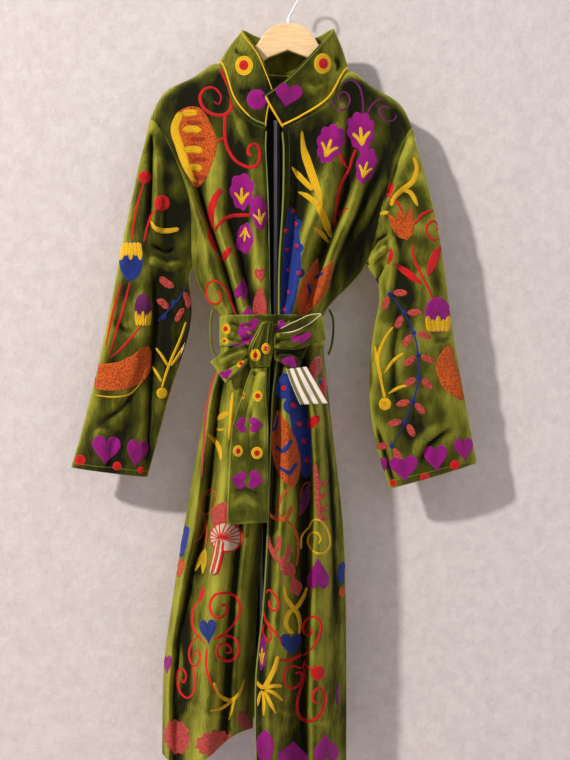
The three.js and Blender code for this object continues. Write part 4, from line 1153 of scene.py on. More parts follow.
ON_FRONT_LEFT = [
    line(spot([302, 304, 311, 318, 322], [131, 150, 172, 192, 206]), "yellow", 14, start=0.25),
    line(spot([292, 301, 313], [167, 178, 190]), "yellow", 10, start=0.3, end=0.8),
    line(spot([298, 307, 319], [192, 196, 206]), "yellow", 9, start=0.3, end=0.8),
    line(spot([318, 325, 331], [205, 220, 238]), "yellow", 13, start=0.9, end=0.3),
    line(spot([313, 321, 329], [228, 233, 243]), "yellow", 8),
    flower(spot(330, 144), 56, 70, -18, lobes=9),
    flower(spot(361, 132), 58, 70, 6, lobes=9),
    flower(spot(366, 166), 42, 64, -16),
    line(spot([339, 343, 348], [153, 162, 169]), "red", 6),
    line(spot([356, 352, 349, 342, 337, 334], [149, 159, 170, 182, 202, 227]), "red", 6, end=0.5),
    line(spot([338, 342, 349], [216, 211, 208]), "red", 3.4),
    line(spot([343, 352, 360, 363, 362], [83, 80, 88, 103, 116]), "plum", 3.6, end=0.8),
    line(spot([332, 333, 339, 347, 350, 345, 339, 340, 344], [93, 104, 110, 108, 99, 92, 95, 101, 99]),
         "plum", 3.6, end=0.9),
    line(spot([383, 375, 369, 366], [97, 102, 110, 119]), "plum", 3.6, end=0.8),
    line(spot([397, 394, 387, 381, 380, 385, 389], [114, 120, 121, 116, 109, 106, 109]), "plum", 3.6,
         end=0.9),
    line(spot([291, 292, 292, 289, 285], [207, 232, 262, 292, 318]), "blue", 30, start=0.35, end=0.6),
    dot(spot(297, 224), "blue", 17),
    dot(spot(299, 248), "blue", 17),
    dot(spot(300, 273), "blue", 17),
    red_dots(spot([293, 296, 286, 297, 287, 288, 299, 288, 284], [211, 224, 231, 246, 250, 270, 273, 292,
             310]), 8),
    leaf(spot(309, 288), "orange", 30, 106, -16, belly=0.4),
    leaf(spot(320, 286), "orange", 26, 98, -27, belly=0.45),
    line(spot([307, 309, 311], [283, 289, 295]), "blue", 7, end=0.8, over=1),
    line(spot([316, 320, 324], [279, 275, 273]), "blue", 7, end=0.8, over=1),
    # The skirt.
    line(spot([283, 294, 300, 304, 306], [374, 398, 424, 450, 478]), "blue", 30, start=0.8),
    dot(spot(284, 390), "blue", 30),
    dot(spot(292, 406), "blue", 30),
    dot(spot(299, 428), "blue", 26),
    dot(spot(302, 448), "blue", 24),
    red_dots(spot([284, 293, 299, 304, 307], [388, 405, 424, 441, 460]), 10),
    leaf(spot(285, 449), "orange", 46, 134, 11, belly=0.42),
    line(spot([272, 276, 278], [430, 428, 417]), "blue", 8, end=0.9, over=1, curve=False),
    line(spot([275, 284, 291], [446, 452, 440]), "blue", 8, end=0.9, over=1, curve=False),
    line(spot([280, 289, 296], [467, 474, 463]), "blue", 8, end=0.9, over=1, curve=False),
    line(spot([288, 281, 278, 281], [489, 498, 509, 517]), "orange", 6),
    line(spot([267, 273, 282, 288, 292], [512, 517, 520, 515, 506]), "orange", 8, end=0.8),
    line(spot([285, 294, 298, 298, 296], [520, 528, 541, 554, 566]), "orange", 5),
    line(spot([308, 313, 319], [428, 422, 416]), "red", 15, start=0.9, end=0.9),
    leaf(spot(315, 368), "coral", 22, 44, -20),
    leaf(spot(323, 388), "red", 12, 46, -6),
    dot(spot(321, 381), "blue", 10),
    line(spot([315, 317, 318, 320], [464, 483, 502, 519]), "coral", 9, end=0.8),
    line(spot([318, 322, 327], [487, 484, 480]), "coral", 8, end=0.9),
    line(spot([318, 323, 327], [499, 496, 493]), "coral", 8, end=0.9),
    line(spot([319, 324, 327], [511, 509, 506]), "coral", 8, end=0.9),
    line(spot([320, 324, 327], [520, 519, 517]), "coral", 8, end=0.9),
    line(spot([301, 302, 309, 313, 321, 328, 330, 324, 314, 308, 310, 317, 321, 318], [549, 536, 527, 520,
         521, 531, 545, 553, 552, 543, 534, 533, 539, 544]), "yellow", 4, end=0.9),
    leaf(spot(305, 500), "plum", 15, 54, -14),
    line(spot([299, 304, 309, 309, 303, 300], [516, 500, 487, 482, 486, 499]), "rust", 3),
    heart(spot(318, 573), "magenta", 38, 54, 180),
    line(spot([267, 270, 276, 286, 294, 298], [530, 546, 558, 566, 580, 596]), "coral", 8, end=0.5),
    line(spot([272, 278, 279], [553, 548, 536]), "coral", 9, end=0.9),
    line(spot([281, 287, 290], [563, 556, 545]), "coral", 9, end=0.9),
    leaf(spot(288, 569), "coral", 24, 30, 60),
    leaf(spot(296, 587), "coral", 22, 30, 10),
    line(spot([284, 286, 292, 298, 300, 299], [586, 597, 606, 614, 624, 634]), "yellow", 8, start=0.5),
    line(spot([307, 303, 297, 289, 286, 289, 293], [587, 598, 607, 613, 623, 630, 633]), "yellow", 8,
         start=0.5, end=0.9),
    heart(spot(291, 645), "blue", 38, 38, 0),
    line(spot([279, 290, 302], [660, 660, 654]), "red", 6, end=0.9),
    line(spot([266, 269, 276, 279, 275, 270, 269], [594, 590, 596, 606, 611, 607, 600]), "red", 4.6,
         end=0.9),
    line(spot([264, 266, 272, 279, 281], [611, 621, 629, 637, 644]), "red", 4.6),
    line(spot([264, 263, 267, 271, 271, 267], [624, 632, 641, 639, 631, 629]), "red", 4),
    line(spot([303, 313, 320, 321, 316, 308, 303, 305, 311, 312], [656, 647, 634, 624, 617, 618, 626, 634,
         634, 628]), "red", 4.6, end=0.9),
    line(spot([305, 302, 293, 286, 284, 290, 298, 302, 300, 295], [660, 668, 666, 670, 680, 688, 686, 678,
         672, 674]), "red", 4.6, end=0.9),
    line(spot([304, 303, 299, 297, 300, 308, 318, 324, 325, 320, 314, 313, 318], [668, 682, 694, 706, 717,
         721, 717, 706, 695, 688, 692, 700, 704]), "red", 6, end=0.7),
    dot(spot(318, 673), "red", 25),
    line(spot([304, 308, 313], [663, 667, 670]), "red", 5),
    line(spot([278, 274, 264], [656, 670, 688]), "yellow", 9, end=0.9),
    line(spot([254, 258, 264], [677, 684, 689]), "yellow", 7, end=0.9),
    line(spot([264, 273, 282], [689, 686, 686]), "yellow", 7, end=0.9),
    line(spot([265, 274, 283], [690, 693, 701]), "yellow", 7),
    line(spot([264, 270, 276], [691, 702, 714]), "yellow", 7),
    line(spot([263, 264, 264], [691, 703, 716]), "yellow", 6),
    line(spot([262, 259, 258], [690, 698, 706]), "yellow", 6),
    flower(spot(262, 652), 17, 66, lobes=5),
    leaf(spot(265, 750), "magenta", 30, 70, belly=0.6),
    heart(spot(293, 752), "magenta", 50, 40, 176),
    heart(spot(326, 747), "magenta", 42, 48, 184),
    line(spot([343, 341, 342], [562, 574, 584]), "blue", 12, end=0.8),
    line(spot([342, 342, 341], [587, 592, 597]), "orange", 10, end=0.8),
    line(spot([338, 337, 338], [684, 694, 706]), "plum", 7),
]

ON_SLEEVE_RIGHT = [
    line(spot([144, 139, 134, 132], [182, 198, 220, 240]), "red", 4, end=0.8),
    dot(spot(145, 177), "red", 22),
    line(spot([157, 151, 147, 144], [208, 216, 228, 242]), "red", 4, end=0.8),
    dot(spot(162, 203), "red", 27),
    line(spot([151, 155, 165, 179], [221, 228, 231, 229]), "yellow", 9, start=0.3, end=0.8),
    line(spot([130, 124, 116, 109], [282, 305, 332, 357]), "red", 4.4),
    line(spot([121, 113, 106], [284, 312, 346]), "red", 4.4),
    line(spot([141, 131, 120, 110], [326, 338, 350, 358]), "red", 4.4),
    tulip(spot(131, 261), "blue", "yellow", 42, 66),
    tulip(spot(143, 310), "plum", "yellow", 30, 56, crown_down=-1),
    line(spot([94, 106, 124, 138, 148], [376, 377, 375, 366, 346]), "orange", 48, start=0.9, end=0.25),
    line(spot([95, 112, 130, 143], [395, 397, 394, 380]), "yellow", 3),
    heart(spot(106, 451), "magenta", 48, 50, -4),
    heart(spot(137, 454), "magenta", 36, 48, -8),
    dot(spot(80, 460), "red", 18),
    dot(spot(117, 466), "red", 15),
    dot(spot(141, 470), "red", 12),
    line(spot([157, 168, 178, 186], [322, 311, 300, 286]), "blue", 3),
    line(spot([160, 166, 174], [277, 283, 287]), "coral", 13, start=0.9, end=0.8),
    line(spot([176, 180, 184], [322, 314, 308]), "coral", 10, start=0.9, end=0.8),
    line(spot([157, 163, 168], [300, 303, 309]), "coral", 12, start=0.9, end=0.8),
    line(spot([184, 188, 188], [292, 300, 308]), "coral", 11, start=0.9, end=0.8),
    dot(spot(174, 303), "blue", 10),
    dot(spot(164, 317), "blue", 10),
    line(spot([186, 180, 172, 166, 162], [322, 340, 358, 374, 388]), "yellow", 5, end=0.8),
    line(spot([156, 162, 168], [348, 356, 366]), "yellow", 5, end=0.8),
    line(spot([184, 178, 171], [346, 356, 366]), "yellow", 5, end=0.8),
    line(spot([152, 156, 162], [366, 372, 382]), "yellow", 5, end=0.8),
    dot(spot(162, 393), "yellow", 19),
    # The far side.
    line(far([-186, -196, -214, -222], [-380, -440, -500, -560]), "red", 6),
    flower(far(-190, -352), 54, 58),
    leaf(far(-236, -470), "orange", 26, 84, 32),
    leaf(far(-196, -520), "coral", 24, 70, -36),
    tulip(far(-236, -610), "magenta", "yellow", 44, 60),
    spiral(far(-262, -680), "red", 5, 19, 90, 1.6),
    spiral(far(-226, -694), "red", 5, 16, 80, 1.5, hand=-1),
    heart(far(-320, -776), "magenta", 44, 44),
    heart(far(-268, -786), "magenta", 44, 44),
    dot(far(-293, -806), "red", 15),
]

ON_SLEEVE_LEFT = [
    line(spot([414, 417, 413, 402, 394, 391], [157, 168, 181, 190, 198, 206]), "yellow", 9, start=0.6,
         end=0.8),
    line(spot([403, 411, 418], [190, 193, 206]), "yellow", 8),
    line(spot([377, 382, 389], [212, 213, 212]), "yellow", 7, end=0.8),
    line(spot([389, 396, 403], [196, 201, 212]), "red", 5),
    line(spot([391, 389, 386], [182, 189, 197]), "red", 15, start=0.8),
    bud(spot(403, 224), "orange", 42, 56, 14),
    line(spot([415, 423, 434, 437], [224, 214, 211, 214]), "red", 5),
    line(spot([439, 440, 433, 427, 427, 433, 438, 436], [231, 238, 240, 233, 226, 221, 225, 231]), "red",
         4.6, end=0.9),
    line(spot([412, 414, 420, 425, 430, 433], [244, 258, 272, 282, 292, 302]), "red", 5),
    line(spot([442, 435, 428], [245, 257, 276]), "red", 15, start=0.25, end=0.4),
    line(spot([395, 406, 422], [264, 272, 284]), "red", 12, start=0.3, end=0.35),
    line(spot([390, 391, 388], [248, 256, 264]), "red", 8),
    tulip(spot(438, 315), "magenta", "yellow", 46, 60, crown_down=-1),
    line(spot([450, 446, 450, 459, 467], [346, 362, 378, 390, 398]), "orange", 36, start=0.3, end=0.5),
    vine(spot([390, 404, 414, 418, 419, 413, 405, 392], [294, 313, 333, 355, 378, 401, 422, 446]),
         "coral", "blue", 9, 24),
    line(spot([393, 384, 378, 381, 385], [327, 340, 358, 380, 398]), "yellow", 6, end=0.8),
    line(spot([404, 394, 384], [353, 360, 374]), "yellow", 6, start=0.8),
    line(spot([375, 377, 382], [346, 362, 376]), "yellow", 5),
    line(spot([408, 398, 388], [385, 388, 394]), "yellow", 6, start=0.8),
    dot(spot(385, 404), "yellow", 21),
    heart(spot(404, 469), "magenta", 48, 44, 4),
    heart(spot(436, 459), "magenta", 40, 46, 4),
    heart(spot(464, 450), "magenta", 32, 40, 4),
    heart(spot(383, 467), "magenta", 14, 34),
    dot(spot(425, 478), "red", 17),
    dot(spot(455, 465), "red", 17),
    dot(spot(393, 483), "red", 12),
    # The far side.
    flower(far(176, -344), 52, 58),
    line(far([178, 190, 204, 212], [-374, -430, -490, -556]), "red", 6),
    leaf(far(222, -446), "orange", 26, 84, -30),
    leaf(far(178, -508), "coral", 24, 66, 34),
    tulip(far(222, -606), "blue", "yellow", 46, 60),
    spiral(far(246, -690), "red", 5, 19, 90, 1.6),
    spiral(far(202, -700), "red", 5, 17, 90, 1.5, hand=-1),
    heart(far(202, -794), "magenta", 42, 44),
    heart(far(256, -780), "magenta", 44, 44),
    dot(far(230, -806), "red", 15),
]

ON_BACK = [
    line(far([-20, -14, -22, -12], [-250, -330, -420, -520]), "red", 8),
    flower(far(-20, -216), 74, 80, lobes=9),
    flower(far(-82, -262), 58, 62, 34),
    flower(far(46, -268), 58, 62, -34),
    line(far([-18, -48, -74], [-330, -306, -286]), "red", 6),
    line(far([-16, 16, 40], [-330, -310, -292]), "red", 6),
    leaf(far(-78, -400), "orange", 42, 120, 24),
    line(far([-88, -74, -68], [-408, -418, -400]), "blue", 8, end=0.9, over=1, curve=False),
    leaf(far(44, -396), "coral", 38, 112, -26),
    spiral(far(-128, -330), "red", 6, 24, 60, 1.6),
    spiral(far(100, -336), "red", 6, 24, 120, 1.6, hand=-1),
    line(far([-110, -104, -84], [-470, -500, -530]), "yellow", 10),
    line(far([72, 62, 42], [-470, -500, -530]), "yellow", 10),
    ringed(far(-52, -480), 26),
    ringed(far(28, -480), 26),
    line(far([-22, -18, -24, -16], [-640, -720, -800, -880]), "blue", 30, start=0.6),
    dot(far(-21, -670), "red", 12, over=2),
    dot(far(-18, -715), "red", 12, over=2),
    dot(far(-23, -760), "red", 12, over=2),
    dot(far(-23, -805), "red", 12, over=2),
    dot(far(-19, -850), "red", 12, over=2),
    leaf(far(-78, -742), "orange", 44, 132, -10),
    line(far([-92, -79, -68], [-728, -742, -726]), "blue", 8, end=0.9, over=1, curve=False),
    line(far([-90, -78, -66], [-770, -784, -768]), "blue", 8, end=0.9, over=1, curve=False),
    mushroom(far(40, -760), 60, 124),
    spiral(far(-110, -890), "red", 6, 28, 70, 1.7),
    spiral(far(50, -900), "red", 6, 28, 110, 1.7, hand=-1),
    heart(far(-30, -950), "blue", 44, 48),
    line(far([-70, -46, -22, 6, 24], [-1000, -1030, -1040, -1030, -1000]), "yellow", 9),
    line(far([-56, -34, -22], [-1084, -1056, -1040]), "yellow", 8),
    line(far([12, -8, -22], [-1084, -1056, -1040]), "yellow", 8),
    flower(far(-128, -1030), 56, 62),
    flower(far(60, -1040), 56, 62),
    tulip(far(-100, -1140), "plum", "yellow", 48, 60),
    tulip(far(40, -1150), "blue", "yellow", 48, 60),
    spiral(far(-34, -1148), "red", 6, 24, 90, 1.6),
    round_head(far(-160, -1224), "coral", 50, 54),
    round_head(far(-100, -1232), "coral", 52, 54),
    heart(far(-44, -1240), "magenta", 50, 48, 180),
    heart(far(12, -1246), "magenta", 50, 48, 180),
    heart(far(64, -1254), "magenta", 44, 48, 180),
]

ON_COLLAR = [
    ringed(spot(244, 65.5), 30),
    ringed(spot(323, 63.6), 30, 35),
    heart(spot(288, 96), "magenta", 47, 42, -12),
    dot(spot(257, 99.5), "magenta", 34),
    ringed(far(-34, -128), 28),
    ringed(far(30, -128), 28),
    heart(far(-2, -130), "magenta", 34, 32),
]

ON_PANELS = {
    "front_right": ON_FRONT_RIGHT,
    "front_left": ON_FRONT_LEFT,
    "sleeve_right": ON_SLEEVE_RIGHT,
    "sleeve_left": ON_SLEEVE_LEFT,
    "back": ON_BACK,
    "collar": ON_COLLAR,
}

ON_BELT = {
    "belt_wrap": [
        ringed(spot(226, 329), 15, 19),
        ringed(spot(225, 341), 12, 12),
        heart(spot(250, 327), "magenta", 36, 22, 20),
        heart(spot(246, 338), "magenta", 36, 22, -30),
        heart(spot(240, 346), "magenta", 28, 12, 14),
        heart(spot(281, 329), "magenta", 30, 20, 60),
        line(spot([227, 231, 234], [349, 347, 345]), "blue", 7, end=0.9),
        ringed(far(-70, -583), 18),
        heart(far(-30, -583), "magenta", 28, 24),
        ringed(far(8, -583), 18),
    ],
    "belt_knot": [
        ringed(spot(255.5, 355), 18, 21),
        ringed(spot(266, 348.5), 16, 19),
    ],
    "belt_bow_right": [
        heart(spot(302, 339), "magenta", 36, 18, 14),
        heart(spot(284, 329), "magenta", 30, 15, 30),
    ],
    "belt_bow_left": [
        ringed(spot(241, 364), 15, 13),
        heart(spot(226, 375), "magenta", 24, 17, 20),
    ],
    "belt_tail_root": [
        heart(spot(291, 361), "magenta", 27, 22, 150),
    ],
    "belt_tail_long": [
        ringed(spot(258, 396), 17, 19),
        ringed(spot(243, 395), 8, 15),
        heart(spot(240, 425), "magenta", 27, 20, -90),
        heart(spot(257, 425), "magenta", 27, 25, 90),
        ringed(spot(238, 451), 17, 20),
        ringed(spot(257, 453), 20, 21),
        heart(spot(238, 480), "magenta", 30, 27, -100),
        heart(spot(257, 480), "magenta", 31, 28, 80),
    ],
}

# ---------------------------------------------------------------- the coat's panels

front_right = front_grid(FRONT_RIGHT)
front_left = front_grid(FRONT_LEFT)
back = back_grid(front_right, front_left)

PANELS = {
    "front_right": panel_of(front_right, 1, ease=("top", "last")),
    "front_left": panel_of(front_left, -1, ease=("top", "last")),
    "back": panel_of(back, 1, from_behind=True, ease=("top", "first", "last")),
    "sleeve_right": panel_of(sleeve_grid(SLEEVE_RIGHT, front_right, back, 0), -1, ring=True, ease=("top",)),
    "sleeve_left": panel_of(sleeve_grid(SLEEVE_LEFT, front_left, back, -1), 1, ring=True, ease=("top",)),
    "collar": panel_of(collar_grid(front_right, front_left, back), 1, ease=("foot",)),
}

# Creases. Columns: route in the picture's pixels, or x and z in mm on the back; width and depth in mm,
# a ridge where the depth is under 0; and the shares of the route over which it fades in and out.
CREASES = {
    "front_right": [
        ([(196, 189), (208, 222), (224, 262), (240, 318)], 9, 14.5, (0.1, 0.2)),
        ([(183, 182), (200, 218), (220, 262), (236, 316)], 8, -9.5, (0.2, 0.2)),
        ([(206, 180), (218, 225), (234, 275), (247, 318)], 7, -8, (0.3, 0.2)),
        ([(222, 205), (236, 250), (250, 316)], 8, 9.5, (0.4, 0.1)),
        ([(160, 128), (170, 150), (186, 184), (200, 214)], 5, -8, (0.2, 0.3)),
        ([(153, 128), (156, 165), (166, 200)], 4, 8, (0.2, 0.4)),
        ([(236, 60), (240, 110), (252, 160), (256, 240), (258, 318)], 9, -8, (0.25, 0.25)),
        ([(264, 150), (266, 220), (264, 300)], 5, 5, (0.25, 0.25)),
        ([(224, 352), (214, 420), (206, 520), (190, 640)], 8, 13, (0.1, 0.4)),
        ([(236, 352), (228, 420), (220, 520), (206, 620)], 8, -9.5, (0.2, 0.4)),
        ([(232, 520), (224, 600), (214, 700), (208, 750)], 12, -11, (0.3, 0.2)),
        ([(180, 600), (184, 660), (176, 720)], 7, -6.5, (0.4, 0.3)),
        ([(193, 640), (190, 700), (176, 728)], 6, 6.5, (0.3, 0.3)),
        ([(168, 716), (190, 704), (206, 712), (232, 722)], 4, -5, (0.3, 0.4)),
        ([(188, 560), (192, 590), (186, 612)], 5, 6.5, (0.4, 0.4)),
    ],
    "front_left": [
        ([(333, 160), (322, 205), (307, 240), (292, 314)], 10, -13, (0.3, 0.1)),
        ([(354, 172), (328, 248), (306, 316)], 8, 16, (0.2, 0.1)),
        ([(362, 184), (336, 250), (314, 312)], 8, -11, (0.2, 0.1)),
        ([(378, 160), (356, 215), (336, 258), (322, 300)], 6, 11, (0.3, 0.2)),
        ([(404, 128), (398, 150), (382, 186), (362, 222), (340, 262)], 7, -9.5, (0.3, 0.3)),
        ([(402, 134), (392, 158), (384, 186)], 4, 9.5, (0.3, 0.3)),
        ([(296, 130), (298, 180), (292, 230), (286, 310)], 8, 9.5, (0.3, 0.1)),
        ([(346, 96), (338, 130), (330, 160)], 8, -6.5, (0.3, 0.3)),
        ([(297, 366), (308, 420), (312, 520), (305, 600)], 8, 13, (0.1, 0.3)),
        ([(316, 356), (326, 430), (330, 540), (334, 640)], 6, 9.5, (0.2, 0.3)),
        ([(322, 380), (332, 460), (338, 560)], 5, -6.5, (0.2, 0.4)),
        ([(283, 372), (286, 450), (280, 560), (276, 660)], 12, -9.5, (0.2, 0.3)),
        ([(300, 600), (306, 660), (300, 740)], 9, 9.5, (0.3, 0.2)),
        ([(268, 702), (292, 716), (322, 722), (340, 712)], 4, -5, (0.3, 0.3)),
        ([(286, 736), (306, 722), (326, 730)], 5, 5, (0.4, 0.4)),
    ],
    "sleeve_right": [
        ([(152, 130), (151, 180), (149, 235)], 5, 14.5, (0.1, 0.3)),
        ([(158, 140), (160, 190), (156, 246)], 7, -9.5, (0.2, 0.3)),
        ([(150, 244), (166, 252), (178, 246)], 5, 14.5, (0.2, 0.3)),
        ([(148, 258), (168, 268), (186, 262)], 5, -9.5, (0.2, 0.3)),
        ([(152, 262), (154, 330), (150, 400), (146, 466)], 6, 14.5, (0.2, 0.1)),
        ([(130, 230), (116, 290), (104, 360), (92, 420)], 14, -8, (0.3, 0.3)),
        ([(136, 386), (120, 410), (96, 426)], 6, 8, (0.3, 0.4)),
        ([(112, 318), (124, 330), (146, 332)], 6, 6.5, (0.4, 0.3)),
        ([(120, 428), (112, 446), (110, 470)], 7, 6.5, (0.3, 0.1)),
        ([(90, 440), (100, 432), (122, 436)], 5, -5, (0.4, 0.4)),
    ],
    "sleeve_left": [
        ([(414, 132), (406, 160), (398, 186), (388, 206)], 7, -9.5, (0.2, 0.2)),
        ([(408, 134), (399, 158), (391, 186), (384, 204)], 4, 13, (0.2, 0.2)),
        ([(390, 214), (394, 260), (388, 310)], 6, -8, (0.3, 0.3)),
        ([(392, 232), (378, 240), (370, 252)], 4, 13, (0.2, 0.3)),
        ([(388, 246), (376, 256), (368, 262)], 4, -9.5, (0.2, 0.3)),
        ([(386, 262), (380, 276), (374, 292)], 5, 11, (0.2, 0.3)),
        ([(420, 240), (424, 300), (424, 370)], 12, -6.5, (0.4, 0.4)),
        ([(402, 300), (394, 350), (396, 420)], 7, 8, (0.3, 0.4)),
        ([(452, 426), (430, 444), (419, 466)], 5, 11, (0.3, 0.2)),
        ([(440, 424), (424, 436), (410, 458)], 6, -6.5, (0.3, 0.3)),
        ([(456, 330), (444, 340), (426, 342)], 6, 6.5, (0.3, 0.4)),
        ([(376, 420), (386, 450), (396, 486)], 5, 8, (0.3, 0.2)),
    ],
    "back": [
        ([(-110, -330), (-80, -440), (-60, -550)], 13, 11, (0.3, 0.1)),
        ([(-70, -300), (-50, -430), (-36, -550)], 12, -8, (0.3, 0.1)),
        ([(90, -340), (60, -440), (30, -550)], 13, 11, (0.3, 0.1)),
        ([(50, -300), (26, -430), (4, -550)], 12, -8, (0.3, 0.1)),
        ([(-170, -300), (-150, -380), (-140, -450)], 10, 9.5, (0.3, 0.3)),
        ([(150, -310), (130, -390), (120, -450)], 10, 9.5, (0.3, 0.3)),
        ([(-80, -620), (-96, -760), (-120, -980)], 13, 14.5, (0.1, 0.4)),
        ([(-40, -620), (-44, -800), (-50, -1060)], 15, -11, (0.1, 0.4)),
        ([(0, -620), (6, -780), (10, -1000)], 13, 14.5, (0.1, 0.4)),
        ([(30, -620), (40, -780), (50, -1100)], 12, -9.5, (0.1, 0.4)),
        ([(-150, -980), (-160, -1100), (-170, -1220)], 10, -8, (0.3, 0.3)),
        ([(-60, -1050), (-66, -1150), (-60, -1230)], 12, 9.5, (0.4, 0.2)),
    ],
    "collar": [
        ([(235, 50), (243, 56), (251, 60)], 4, 6.5, (0.2, 0.4)),
        ([(238, 89), (246, 91), (254, 88)], 4, 6.5, (0.3, 0.3)),
        ([(332, 56), (337, 64), (336, 74)], 4, 6.5, (0.3, 0.3)),
        ([(300, 84), (316, 92), (332, 84)], 6, -5, (0.3, 0.3)),
    ],
}

# Small waves in the cloth: their height in mm, and their length along x, y and z.
RIPPLES = {
    "collar": [dict(height=1.4, length=(24, 24, 20))],
    "sleeve_right": [dict(height=5, length=(60, 60, 34)), dict(height=2.4, length=(22, 22, 30))],
    "sleeve_left": [dict(height=5, length=(60, 60, 34)), dict(height=2.4, length=(22, 22, 30))],
    "cloth": [dict(height=5, length=(26, 60, 150)), dict(height=2.2, length=(18, 30, 34))],
}

for seed, (name, panel) in enumerate(PANELS.items(), 1):
    hold_borders(panel, CREASES[name])
    for waves in RIPPLES.get(name, RIPPLES["cloth"]):
        ripple(panel, waves["height"], waves["length"], seed)
join_normals(PANELS.values())

# Painted sheen and shade: how much lighter or darker each piece's velvet is painted, as its pile would look
# toward the light or away from it.
PIECE_PAINTED_SHEEN = {
    "front_right": -0.2,
    "front_left": -0.18,
    "back": -0.1,
    "sleeve_right": -0.05,
    "sleeve_left": 0.45,
    "collar": -0.2,
    "belt_tail_long": 0.8,
    "belt_tail_root": 0.2,
    "belt_bow_left": 0.35,
    "belt_bow_right": 0.25,
    "belt_knot": 0.4,
    "belt_carrier": 0.9,
}
cloth = {}
for name, panel in PANELS.items():
    inside = VELVET if name in ("collar", "back") else LINING
    cloth[name] = shell(f"{name}_velvet", panel, WALLS.get(name, WALL), [VELVET, inside], pile_tone_and_sheen=PIECE_PAINTED_SHEEN[name])
    finish_piece(cloth[name], "velvet", name)


def embroider(name, panel, wall, rows):
    """Stitches a table's motifs on a panel."""
    stitching = Stitching(name, panel, wall)
    for row in rows:
        row(stitching)
    stitching.finish()


for name, rows in ON_PANELS.items():
    embroider(name, PANELS[name], WALLS.get(name, WALL), rows)

# ---------------------------------------------------------------- the lining behind the open front

LINING_ROWS = slice(14, -4)          # of the back's grid, which the lining is made from
LINING_COLUMNS = slice(8, -8)
SLIT_STRIPE = -24.0                  # mm: a grey stripe hangs behind the slit of the fronts

lining_normals = PANELS["back"]["normals"][LINING_ROWS, LINING_COLUMNS]
lining_grid = PANELS["back"]["grid"][LINING_ROWS, LINING_COLUMNS]
lining_grid = lining_grid + lining_normals * -(WALL / 2 + SEAM_GAP + LINING_WALL / 2)
lining_panel = panel_of(lining_grid, 1)
lining_panel["normals"] = lining_normals
lining_uv = (lining_grid[..., [0, 2]] - (SLIT_STRIPE, 0)) * MM
lining = shell("lining_back_cloth", lining_panel, LINING_WALL, [LINING, LINING], uv=lining_uv)
finish_piece(lining, "striped_lining", "lining_back")

# ---------------------------------------------------------------- cords and edges

CORD_STEP = 2.5          # mm between a cord's rings
NUDGE = 1e-6             # gives a cord that runs straight along y a side
CORD_TIP = 0.5           # a cord's thickness at its two ends, as a share of the rest
SIDES_TO_A_ROW = 4       # sides of a cord that one row of stitches covers
EDGE_RADIUS = WALL / 2 + 0.35
STITCHING_RADIUS = 0.5
STITCHING_COLUMN = 5     # of a front's grid, where the stitching beside its edge runs
HEM_ROW = -4             # of a sleeve's grid, where its hem is stitched
FOOT_ROW = -3            # of the collar's grid, where its seam's cords run


def cord(name, path, radius, material, nodes=(), sides=8, pile_tone_and_sheen=0.0):
    """A round cord along a path."""
    path = even(path, CORD_STEP)
    tangent = unit(np.gradient(path, axis=0))
    side = unit(np.cross(tangent, [0.0, 1.0, 0.0]) + NUDGE)
    up = np.cross(side, tangent)
    turn = 2 * np.pi * np.arange(sides) / sides
    size = np.full(len(path), float(radius))
    size[[0, -1]] *= CORD_TIP
    ring = side[:, None] * np.cos(turn)[None, :, None] + up[:, None] * np.sin(turn)[None, :, None]
    verts = (path[:, None] + ring * size[:, None, None]).reshape(-1, 3)
    faces = quads_of(grid_index(len(path), sides, True))[:, OTHER_WAY_ROUND].tolist()
    faces += [list(range(sides)), list(range(len(verts) - 1, len(verts) - sides - 1, -1))]
    along = np.arange(len(path)) * CORD_STEP / STITCH
    around = np.arange(sides) / SIDES_TO_A_ROW
    uv = paired(along[:, None], around[None]).reshape(-1, 2)
    # A velvet cord is painted lighter or darker all along by its painted sheen.
    obj = mesh_object(name, verts, faces, uv, [material], [0] * len(faces), painted_light=np.full(len(verts), pile_tone_and_sheen))
    finish_piece(obj, "velvet", *nodes)
    return obj


def part_of(border, first, last):
    """The part of a border from one share of its length to another."""
    return border[int(first * len(border)):int(last * len(border)) + 1]


collar_face = outside_of(PANELS["collar"], COLLAR_WALL)
collar_foot = collar_face[FOOT_ROW]
collar_top = collar_face[1]
COLLAR_CORDS = [
    dict(name="collar_piping_right", path=part_of(collar_foot, 0.0, 0.12), radius=1.6, thread="lime"),
    dict(name="collar_seam_right", path=part_of(collar_foot, 0.12, 0.37), radius=1.4, thread="yellow"),
    dict(name="collar_seam_back", path=part_of(collar_foot, 0.37, 0.62), radius=1.2, thread="lime"),
    dict(name="collar_seam_left", path=part_of(collar_foot, 0.62, 1.0), radius=1.9, thread="yellow"),
    dict(name="collar_end_left", path=collar_face[1:-1, -2], radius=1.9, thread="yellow"),
    dict(name="collar_end_right", path=collar_face[1:-1, 1], radius=1.2, thread="yellow"),
    dict(name="collar_edge_right", path=part_of(collar_top, 0.01, 0.34), radius=0.9, thread="yellow"),
    dict(name="collar_edge_back", path=part_of(collar_top, 0.34, 0.66), radius=0.7, thread="lime"),
    dict(name="collar_edge_left", path=part_of(collar_top, 0.66, 0.99), radius=0.8, thread="lime"),
]
edging = {"collar": [cord(row["name"], row["path"], row["radius"], THREADS[row["thread"]])
                     for row in COLLAR_CORDS]}
for name in ("front_right", "front_left"):
    face = outside_of(PANELS[name], WALL)
    edging[name] = [
        cord(f"{name}_edge", PANELS[name]["grid"][2:-1, 0], EDGE_RADIUS, THREADS["lime"]),
        cord(f"{name}_edge_stitching", face[2:-1, STITCHING_COLUMN], STITCHING_RADIUS, THREADS["moss"]),
    ]
